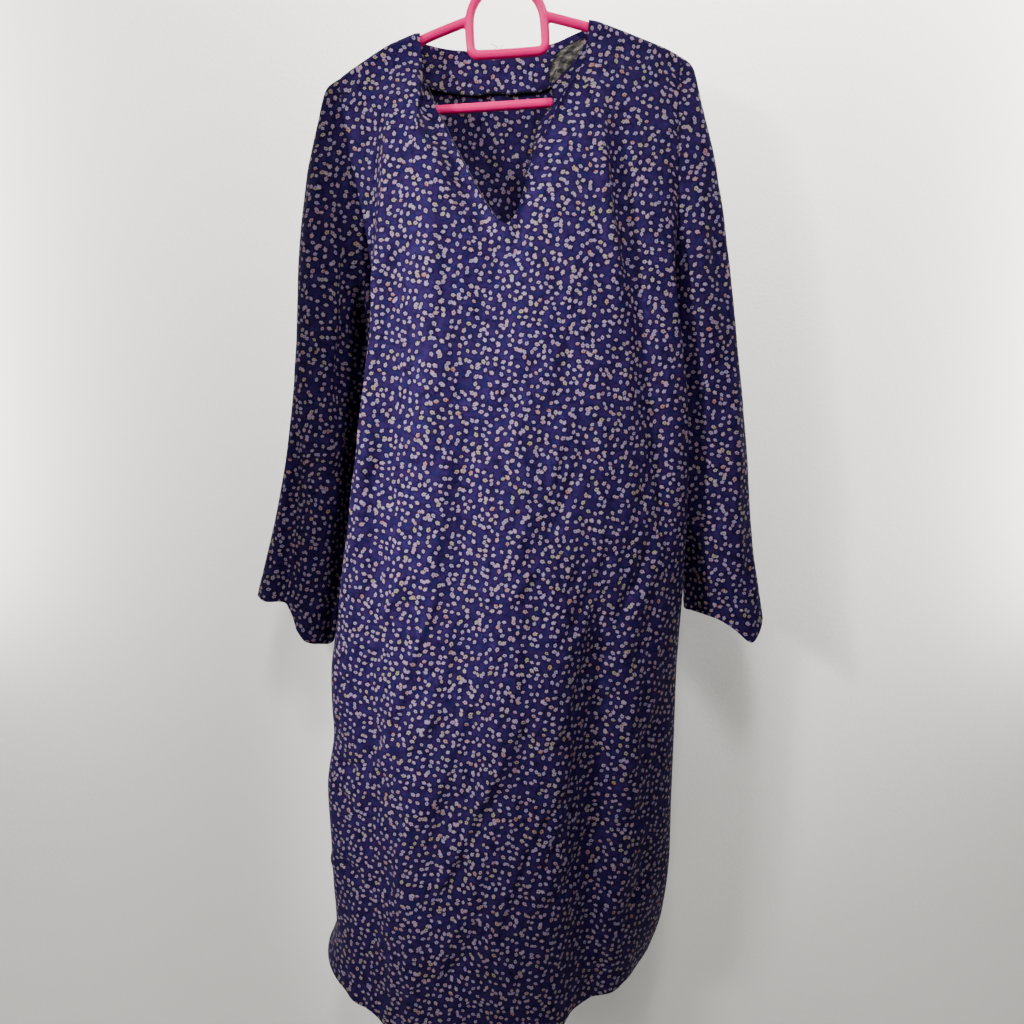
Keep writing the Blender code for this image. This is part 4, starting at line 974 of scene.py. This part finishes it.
# Creases over the front half and over the back half of each sleeve, as on the front panel.
CREASES_LEFT = [
    ([(-164, -173), (-167, -202), (-173, -227), (-181, -264), (-182, -311), (-183, -371), (-176, -419)],
     7, 3, 0.4, 0.5),
    ([(-140, -190), (-144, -254), (-150, -301), (-157, -387), (-170, -507)], 13, -9, 0, 0.2),
    ([(-162, -526), (-174, -534), (-187, -541)], 5, -2.6, 0, 0.3),
    ([(-196, -300), (-196, -380), (-202, -450)], 6, -1.8, 0, 0.2),
    ([(-200, -470), (-206, -540), (-222, -640)], 7, 2.4, 0.2, 0.3),
    ([(-236, -560), (-244, -620), (-252, -655)], 6, -1.6, 0, 0.2),
    ([(-186, -590), (-196, -640), (-200, -690)], 6, -2.2, 0, 0.2),
    ([(-176, -440), (-190, -462), (-204, -470)], 5, -2, 0, 0.3),
]
CREASES_RIGHT = [
    ([(186, -190), (192, -260), (200, -340), (206, -430)], 8, 2.8, -0.3, 0.3),
    ([(204, -220), (212, -300), (220, -380)], 7, -2.2, 0, 0.2),
    ([(198, -440), (206, -520), (214, -610)], 7, -2.6, 0, 0.2),
    ([(226, -400), (234, -480), (242, -570)], 8, 2.6, -0.3, 0.3),
    ([(250, -540), (256, -600), (262, -660)], 6, -2, 0, 0.2),
    ([(196, -400), (212, -418), (228, -424)], 5, -2, 0, 0.3),
    ([(206, -590), (220, -630), (232, -664)], 6, 2.4, 0.3, 0.5),
    ([(210, -470), (224, -486), (238, -490)], 5, -1.6, 0, 0.3),
]


SLEEVE_LONG = 520.0  # about how long a sleeve is from its seam to its cuff
CUFF_ROWS = (1.2, 2.6, 15.0, 16.5, 18.0, 19.5)  # extra rings of points, measured up from the cuff's edge


def sleeve(name, side, table, folds, cuff, creases, seed, cut_from):
    """A tube of cloth set into one armhole. The print is cut from its own place across the cloth."""
    rings, around = 130, 132
    index = np.arange(around)
    half = around // 2
    # The seam's own points are close together at the shoulder; lower down the points are even.
    spread = beside_armhole(half + 1)
    spot = spread[np.minimum(index, half)]
    spot = np.where(index <= half, spot, -spread[(around - index) % (half + 1)])
    even_place = np.where(index <= half, 2 * index / around, -2 * (around - index) / around)
    front_at = np.stack(armhole(side, np.abs(spot), False), axis=1)
    back_at = np.stack(armhole(side, np.abs(spot), True), axis=1)
    loop = np.where((spot >= 0)[:, None], front_at, back_at)
    steps = np.arange(rings) / (rings - 1)
    steps = np.sort(np.concatenate([steps, (0.004, 0.01), 1 - np.array(CUFF_ROWS) / SLEEVE_LONG]))
    t = (steps**1.15)[:, None]
    shares = column(table, 0)
    row = [curve(shares, column(table, k), t) for k in range(1, 9)]
    even = ease(t / 0.3)
    place = spot + (even_place - spot) * even
    turn = math.pi * np.abs(place)
    along = (1 - np.cos(turn)) / 2 * even + np.abs(place) * (1 - even)
    outer, inner = np.stack(row[:3], axis=2), np.stack(row[3:6], axis=2)
    grid = outer + (inner - outer) * along[:, :, None]
    depth = np.where(place > 0, row[6], row[7])
    full = np.where(along < 0.5, -0.05, 0.25)
    bulge = np.sin(np.clip(turn, 0, math.pi)) ** (0.5 + full * even)
    push = np.zeros_like(place)
    for top, top_at, low, low_at, width, height in folds:
        share = (t - top) / (low - top)
        middle = top_at + (low_at - top_at) * share
        fade = ease(share * 4) * (1 if low > 1 else ease((1 - share) * 4))
        same_half = np.where((place < 0) == (top_at < 0), 1, 0)
        push = push + same_half * height * fade * np.exp(-(((place - middle) / width) ** 2))
    grid[:, :, 1] += np.where(place > 0, -1, 1) * bulge * (depth + push)
    drop = curve(column(cuff, 0), column(cuff, 1), place)
    grid[:, :, 2] -= drop * ease((t - 0.75) / 0.25)
    grid = grid + (loop - grid[0])[None] * (1 - ease(t / 0.22))[:, :, None]
    found = normals_of(grid, around=True)
    if ((grid - grid.mean(axis=1, keepdims=True)) * found).sum() < 0:
        found = -found
    # At the seam the normals are the panels' own, but for the underarm.
    seam = np.abs(spot)
    beside = unit(np.stack([0.1 * side + 0 * spot, np.where(spot > 0, -1, 1), 0 * spot], axis=1))
    beside = np.where((seam < 0.8)[:, None], beside, found[0])
    found[0] = unit(np.where((seam < 0.004)[:, None], unit((0.4 * side, 0, 1)), beside))
    x, z = grid[:, :, 0], grid[:, :, 2]
    mask = np.sin(np.clip(turn, 0, math.pi)) * ease((t - 0.05) / 0.12)
    crease = crease_sum(creases, x, z) * np.where(place > 0, 1.0, 0.0)
    crease = crease - 0.8 * crease_sum(creases, x + 5.0 * side, z + 24.0) * np.where(place < 0, 1.0, 0.0)
    # The rumples of the back half are not those of the front half.
    apart = x + np.where(place < 0, 40.0, 0.0)
    box = (x.min() - 5, x.max() + 45, -720)
    rumple = slack(seed, apart, z, 150, (*box, -150), 0.5, strength=1.5)
    rumple = rumple + slack(seed + 6, apart, z, 90, (*box, -380), 0.7, 0.5 * side, 2.4, 2.8, 5.0)
    push = mask * (crease + 0.9 * rumple)
    from_seam = steps[:, None] * SLEEVE_LONG
    pucker = 0.55 * np.sin(np.abs(place) * 62.0) * np.exp(-((from_seam - 5.0) / 6.0) ** 2)
    push = push + pucker * ease(seam / 0.1)
    push = push - 1.1 * np.exp(-(((from_seam - 3.0) / 5.0) ** 2)) * ease(seam / 0.12)
    made = grid + found * (OUTSIDE + push)[:, :, None]
    made = hem_band(made, found, (1 - steps[:, None]) * SLEEVE_LONG + 0 * place)
    # The print lies level. It is measured round the level sections, out from the outer line on
    # both halves.
    levels = np.linspace(grid[:, 0, 2].max(), grid[:, :, 2].min(), 150)
    falls = -grid[:, :, 2].T
    cut = np.array([[np.interp(-levels, falls[j], grid[:, j, k]) for j in range(around)] for k in (0, 1)])
    halves = []
    for way, order in ((-side, np.arange(half + 1)), (side, -np.arange(half + 1) % around)):
        gone = np.cumsum(np.hypot(*np.diff(cut[:, order], axis=1)), axis=0)
        gone = cut[0, 0] + way * np.concatenate([0 * gone[:1], gone])
        gone = [np.interp(falls[j], -levels, gone[k]) for k, j in enumerate(order)]
        halves.append(np.stack(gone, axis=1))
    across = np.concatenate([halves[1][:, :0:-1], halves[0][:, :half]], axis=1)
    made, down = np.roll(made, half, axis=1), np.roll(grid[:, :, 2], half, axis=1)
    flat = (across + cut_from, down, halves[0][:, half] - across[:, 0])
    thing = cloth_piece(name, made, flat, [PRINT, PRINT_IN_PAINTED_SHADE], around=True)
    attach(thing, "root")
    return thing


sleeve_left = sleeve(
    "tunic_sleeve_left", -1, SLEEVE_LEFT, SLEEVE_FOLDS_LEFT, CUFF_LEFT, CREASES_LEFT, 41, -1400.0)
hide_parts("sleeve_left")
sleeve_right = sleeve(
    "tunic_sleeve_right", 1, SLEEVE_RIGHT, SLEEVE_FOLDS_RIGHT, CUFF_RIGHT, CREASES_RIGHT, 57, 1700.0)
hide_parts("sleeve_right")

# Three narrow lamps light the body and pass by the left sleeve, which hangs back in the shade.
for name, place, aim, size, watts, cone in (
    ("body_light", (-0.35, -1.60, 0.35), (-0.02, 0.0, -0.40), 0.16, 230.0, (26.0, 0.40)),
    ("body_side_light", (-1.45, -1.05, 0.20), (0.04, 0.0, -0.46), 0.12, 370.0, (32.0, 0.30)),
    ("body_light_low", (-0.35, -1.60, 0.35), (-0.11, 0.0, -0.86), 0.12, 290.0, (20.0, 0.42)),
):
    lamp(name, place, aim, size, watts, (1.0, 0.98, 0.98), cone, spared=sleeve_left)

# ---- Back neck facing ----------------------------------------------------------------------------
# A strip of the same cloth, 41 mm deep, inside the back of the neck. Its lower edge is overlocked with
# dark thread and waves a little, because it hangs free of the back panel.

FACING_DEPTH, FACING_FROM = 41.0, 2300.0
rows = 34
of_neck = back_cut[1] > 0.999  # the back's columns that start at its neck edge
line = back_outer[:, int(np.argmax(of_neck)):len(of_neck) - int(np.argmax(of_neck[::-1]))]
count = line.shape[1]
spot = np.linspace(0, 1, count)
top = line[0, :, 2] - 0.5
top = top - 14.0 * (1 - ease(np.minimum(spot, 1 - spot) / 0.09))
low_at = line[0, :, 2] - FACING_DEPTH + 1.1 * np.sin(spot * 17.0) + 0.8 * np.sin(spot * 31.0 + 1.0)
down = np.linspace(0, 1, rows)[:, None]
heights = top + (low_at - top) * down
# Against the inside of the back, and hanging away from it more and more towards the lower edge.
facing_grid = np.zeros((rows, count, 3))
for j in range(count):
    for k in (0, 1):
        facing_grid[:, j, k] = np.interp(-heights[:, j], -line[:, j, 2], line[:, j, k])
facing_grid[:, :, 2] = heights
hang = 0.45 + 2.2 * down**1.5 + 0.9 * np.sin(spot * 23.0 + 0.5)[None] * down**1.6
facing_grid[:, :, 1] -= CLOTH + hang
across, down = lengths(facing_grid, 0, count // 2)
facing = cloth_piece("neck_facing", facing_grid, (across + FACING_FROM, down), [PRINT], thick=0.5)
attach(facing, "root")
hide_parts("back_neck_facing")


def thread_of(name, shade):
    """Spun polyester thread: two plies twisted round each other, with a little fuzz."""
    made, tree, shader = finish_material(name)
    where = node(tree, "TexCoord").outputs["Object"]
    plies = node(tree, "TexWave", {"Vector": where, "Scale": 900.0, "Distortion": 3.0, "Detail": 2.0},
                 bands_direction="DIAGONAL")
    darker = [0.6 * level for level in shade]
    feed(shader, {
        "Base Color": ramp(tree, noise(tree, where, 1500.0, 3.0), [(0.3, darker), (0.7, shade)]),
        "Normal": bump(tree, plies.outputs["Fac"], 0.6, 0.0002),
        "Roughness": 0.7, "Specular IOR Level": 0.08})
    return made


def round_run(paths, radius, sides, bent=False, closed=False):
    """Round thread or bar through points in millimetres, as one mesh, which is left active."""
    deselect()
    bpy.ops.curve.primitive_nurbs_path_add(location=(0, 0, 0))
    run = bpy.context.view_layer.objects.active
    run.data.splines.clear()
    for points in paths:
        spline = run.data.splines.new("BEZIER" if bent else "POLY")
        knots = spline.bezier_points if bent else spline.points
        knots.add(len(points) - 1)
        for knot, point in zip(knots, np.asarray(points, float) * MM):
            if bent:
                knot.co = point
                knot.handle_left_type = knot.handle_right_type = "AUTO"
            else:
                knot.co = (*point, 1.0)
        spline.use_cyclic_u = closed
        if bent:
            spline.resolution_u = 6
    run.data.dimensions = "3D"
    run.data.bevel_depth = radius * MM
    run.data.bevel_resolution = sides
    run.data.use_fill_caps = True
    run.select_set(True)
    bpy.ops.object.convert(target="MESH")
    return bpy.context.view_layer.objects.active


def threads(name, paths, radius, material):
    round_run(paths, radius, 1)
    thing = placed(name)
    thing.data.materials.append(material)
    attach(thing, "root")
    return thing


def even_steps(line, step, *others):
    """Points at even steps along a line, and the points of other lines beside them."""
    gone = np.concatenate([[0.0], np.cumsum(np.linalg.norm(np.diff(line, axis=0), axis=1))])
    at = np.linspace(0, gone[-1], max(3, int(gone[-1] / step)))
    return [np.stack([np.interp(at, gone, values[:, k]) for k in range(3)], axis=1)
            for values in (line, *others)]


def overlock(edge, inner, width, step=0.75):
    """The path of an overlocking thread, which swings between the raw edge and its needle line."""
    points, inside = even_steps(edge, step, inner)
    inward = unit(inside - points)
    out = unit(np.cross(np.gradient(points, axis=0), inward))
    out = out * np.where(out[:, 1:2] > 0, -1, 1)
    count = len(points)
    swing = np.tile((0.0, 1.0, 1.0, 0.0), count // 4 + 1)[:count, None]
    uneven = 1 + 0.16 * np.sin(np.arange(count) * 2.3)[:, None]
    return points + inward * (swing * width * uneven - 0.4) + out * (0.75 - 0.2 * swing)


DARK_THREAD = thread_of("dark_thread", (0.0040, 0.0030, 0.0065))
raw_edge, needle_line = facing_grid[-1], facing_grid[-3]
facing_edge = threads("neck_facing_overlock", [
    overlock(raw_edge, needle_line, 2.6), overlock(raw_edge, needle_line, 1.7, 1.1)],
    0.30, DARK_THREAD)
# Three loose thread ends stand up at the middle of the back neck.
middle = facing_grid[0, count // 2 - 4] - (0.0, 0.2, 0.6)
curl = np.linspace(0, 1, 12)[:, None]
ends = ((-5.5 * curl + 1.6 * np.sin(curl * 5), 10.5 * curl - 3.0 * curl**3),
        (1.4 + 4.0 * curl**2, 6.5 * curl),
        (-0.6 - 2.2 * np.sin(curl * 3), 5.0 * curl))
thread_ends = threads(
    "neck_thread_ends", [middle + np.concatenate([out, 0 * curl - 0.3, up], axis=1) for out, up in ends],
    0.22, DARK_THREAD)

# ---- Front facing's loose end --------------------------------------------------------------------
# The end of the front facing has turned over inside the right edge of the V and shows its wrong side:
# grey non-woven stiffening, ironed on, with a dark overlocked edge.

FLAP_OUTLINE = [  # left x, left z, right x, right z, from the top of the flap to its tip
    (77, -110, 80.6, -113), (66.5, -115, 79, -121), (55.5, -122.5, 73.5, -129.5),
    (49.5, -131, 64, -138), (46.6, -140.5, 55, -147.5), (46, -153.5, 49, -154.5),
]
FLAP_FROM, STRIP_FROM = 2700.0, 3100.0
stiffening, tree, shader = finish_material("stiffening")
where = node(tree, "UVMap", uv_map="cloth").outputs["UV"]
combed = node(tree, "Mapping", {"Vector": where, "Scale": (2600.0, 500.0, 1.0), "Rotation": (0, 0, 0.6)})
fibres = noise(tree, combed.outputs["Vector"], 1.0, 2.0, True)
grey = ramp(tree, noise(tree, where, 190.0, 5.0, True, Roughness=0.62), [
    (0.38, (0.0038, 0.0036, 0.0044)), (0.46, (0.0155, 0.0146, 0.0140)), (0.54, (0.037, 0.035, 0.031)),
    (0.66, (0.104, 0.096, 0.085))])
streaks = maths(tree, "MULTIPLY", step_down(tree, fibres, 0.34, 0.44), 0.35)
feed(shader, {
    "Base Color": blend_colour(tree, streaks, grey, (0.045, 0.042, 0.038, 1)),
    "Normal": bump(tree, fibres, 0.5, 0.0003),
    "Roughness": 0.85, "Specular IOR Level": 0.12})



def along(table, count):
    """The table's columns, each as a smooth run of values from its first row to its last."""
    order = np.arange(len(table))
    fine = np.linspace(0, len(table) - 1, count)
    return [curve(order, column(table, k), fine)[:, None] for k in range(len(table[0]))]


lx, lz, rx, rz = along(FLAP_OUTLINE, 44)
share = np.linspace(0, 1, 26)[None, :]
x = lx + (rx - lx + 2.0) * share
z = lz + (rz - lz) * share
# It hangs behind the right edge of the V, which stands further forward the lower it is.
edge_y = np.interp(-z, [112.0, 131.0, 148.5, 175.5], [-7.5, -10.0, -14.0, -20.0])
y = (edge_y + 2.7) * share + (1 - share) * (edge_y + 8.0) - 2.4 * np.sin(math.pi * share)
y = y + 0.5 * np.sin(z / 3.1) * (1 - share)
flap_grid = np.stack([x, y, z], axis=2)
across, down = lengths(flap_grid, 0, 13)
flap = cloth_piece("facing_end", flap_grid, (across + FLAP_FROM, down), [stiffening], thick=0.6)
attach(flap, "root")
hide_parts("front_facing_flap")

# Below and beside the loose end the facing's printed side shows inside the edge of the V. It is drawn in
# the darker copy of the print, as painted shade.
FACING_INSIDE = [  # x and z of its overlocked edge
    (77, -112), (75.5, -121), (70, -128), (60.5, -135.5), (52, -144.5), (47.7, -154.4),
    (49, -165.3), (49.6, -173), (45.5, -179.5), (38.4, -187), (33.6, -197.5), (30.2, -215),
    (26, -232), (22, -246),
]
ix, iz = along(FACING_INSIDE, 90)
right_edge = np.array(V_EDGE)[10:]
edge_x, edge_y = (np.interp(iz, right_edge[:, 2], right_edge[:, k]) for k in (0, 1))
share = np.linspace(0, 1, 14)[None, :]
x = ix + (edge_x + 2.2 - ix) * share
turned_in = 2.6 + 3.4 * ease((-160.0 - iz) / 25.0)
y = edge_y + 1.3 + turned_in * (1 - share) ** 1.5 + 0.35 * np.sin(iz / 4.7) * (1 - share)
strip_grid = np.stack([x, y, iz + 0 * x], axis=2)
across, down = lengths(strip_grid, 0, 7)
strip = cloth_piece(
    "front_facing_inside", strip_grid, (across + STRIP_FROM, down), [PRINT_IN_PAINTED_SHADE], thick=0.5)
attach(strip, "root")
flap_edge = threads("facing_end_overlock", [
    overlock(flap_grid[:, 0], flap_grid[:, 2], 1.8)], 0.36, DARK_THREAD)
BELOW_FLAP = 38  # the strip's first row that the loose end doesn't cover
strip_edge = threads("front_facing_overlock", [
    overlock(strip_grid[BELOW_FLAP:, 0], strip_grid[BELOW_FLAP:, 2], 1.9)],
    0.30, DARK_THREAD)

# A row of fine pale dashes along the left edge of the V is a painted highlight, where the folded edge
# catches the light.
EDGE_HIGHLIGHT_THREAD = thread_of("painted_highlight_thread", (0.075, 0.068, 0.105))
left_edge = np.array(V_EDGE)[3:9] + (1.0, -0.9, 0.0)
points, = even_steps(left_edge, 2.7)
ways = 1.05 * unit(np.gradient(points, axis=0))
highlight_dashes = [[spot - way, spot - (0.0, 0.28, 0.0), spot + way] for spot, way in zip(points, ways)]
v_edge_highlight = threads("neck_edge_painted_highlight", highlight_dashes, 0.22, EDGE_HIGHLIGHT_THREAD)

# ---- Hanger --------------------------------------------------------------------------------------
# One moulding of hot pink plastic in round bars: a D-shaped loop, two arms with hooked ends, a bar for
# trousers and a hook. A fine line runs round it where the two halves of the mould met.

BAR = 9.0
LOOP_WIDTH, LOOP_DROP, LOOP_CORNER = 81.4, 26.0, 7.0
HOOK_INSIDE, HOOK_RISE, TROUSER_DROP = 40.0, 77.0, 73.5


def bar_along(points, closed=False):
    """A round bar along a path that is given in the hanger's own axes."""
    spots = [(x, 0.0, z) for x, z in (leaning(*point) for point in points)]
    return round_run([spots], BAR / 2, 6, True, closed)


def apply_to(thing, kind, **settings):
    made = thing.modifiers.new(kind, kind)
    for key, value in settings.items():
        setattr(made, key, value)
    deselect()
    bpy.context.view_layer.objects.active = thing
    thing.select_set(True)
    bpy.ops.object.modifier_apply(modifier=made.name)


radius = (LOOP_WIDTH - BAR) / 2
loop_path = [(radius * math.cos(a), radius * math.sin(a)) for a in np.linspace(0, math.pi, 13)]
for cx, start in ((-(radius - LOOP_CORNER), math.pi), (radius - LOOP_CORNER, 1.5 * math.pi)):
    for a in np.linspace(start, start + math.pi / 2, 5):
        x, z = cx + LOOP_CORNER * math.cos(a), -(LOOP_DROP - LOOP_CORNER) + LOOP_CORNER * math.sin(a)
        loop_path.append((x, z))
end = ARM[-1][0]
arm_path = [(-out, up) for out, up in ARM]
arm_path += [(-end + 2 * end * k / 6, -TROUSER_DROP) for k in range(1, 6)]
arm_path += ARM[::-1]
arm_path[0], arm_path[-1] = (-radius, ARM[0][1] + 1.0), (radius, ARM[0][1] + 1.0)
hook_radius = (HOOK_INSIDE + BAR) / 2
hook_path = [(0.0, radius), (0.2, radius + 5.0), (2.6, radius + 11.5), (7.4, radius + 17.0)]
hook_path += [(hook_radius * math.cos(a), HOOK_RISE + hook_radius * math.sin(a))
              for a in np.linspace(math.radians(-54), math.radians(172), 14)]
hanger = bar_along(loop_path, True)
for path in (arm_path, hook_path):
    bar = bar_along(path)
    apply_to(hanger, "BOOLEAN", operation="UNION", solver="EXACT", object=bar)
    bpy.data.objects.remove(bar)
apply_to(hanger, "REMESH", mode="VOXEL", voxel_size=1.1 * MM, use_smooth_shade=True)
apply_to(hanger, "SMOOTH", factor=0.5, iterations=4)
hanger = placed("pink_hanger")

plastic, tree, shader = finish_material("pink_plastic")
where = node(tree, "TexCoord").outputs["Object"]
scuff = noise(tree, where, 340.0, 4.0)
dull = node(tree, "MapRange", {
    "Value": scuff, "From Min": 0.45, "From Max": 0.75, "To Min": 0.30, "To Max": 0.46})
from_middle = maths(tree, "ABSOLUTE", node(tree, "SeparateXYZ", {"Vector": where}).outputs["Y"])
mould_line = bump(tree, step_down(tree, from_middle, 0.0, 0.00035), 0.8, 0.0003)
feed(shader, {
    "Base Color": ramp(tree, noise(tree, where, 22.0, 2.0), [
        (0.3, (0.52, 0.0003, 0.108)), (0.7, (0.60, 0.0006, 0.130))]),
    "Roughness": dull.outputs["Result"],
    "Normal": bump(tree, scuff, 0.12, 0.0004, Normal=mould_line),
    "Specular IOR Level": 0.12,
    "Subsurface Weight": 0.10, "Subsurface Radius": (0.006, 0.002, 0.003), "Subsurface Scale": 0.5})
hanger.data.materials.clear()
hanger.data.materials.append(plastic)
hanger.visible_shadow = False
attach(hanger, "root")
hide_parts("hanger")
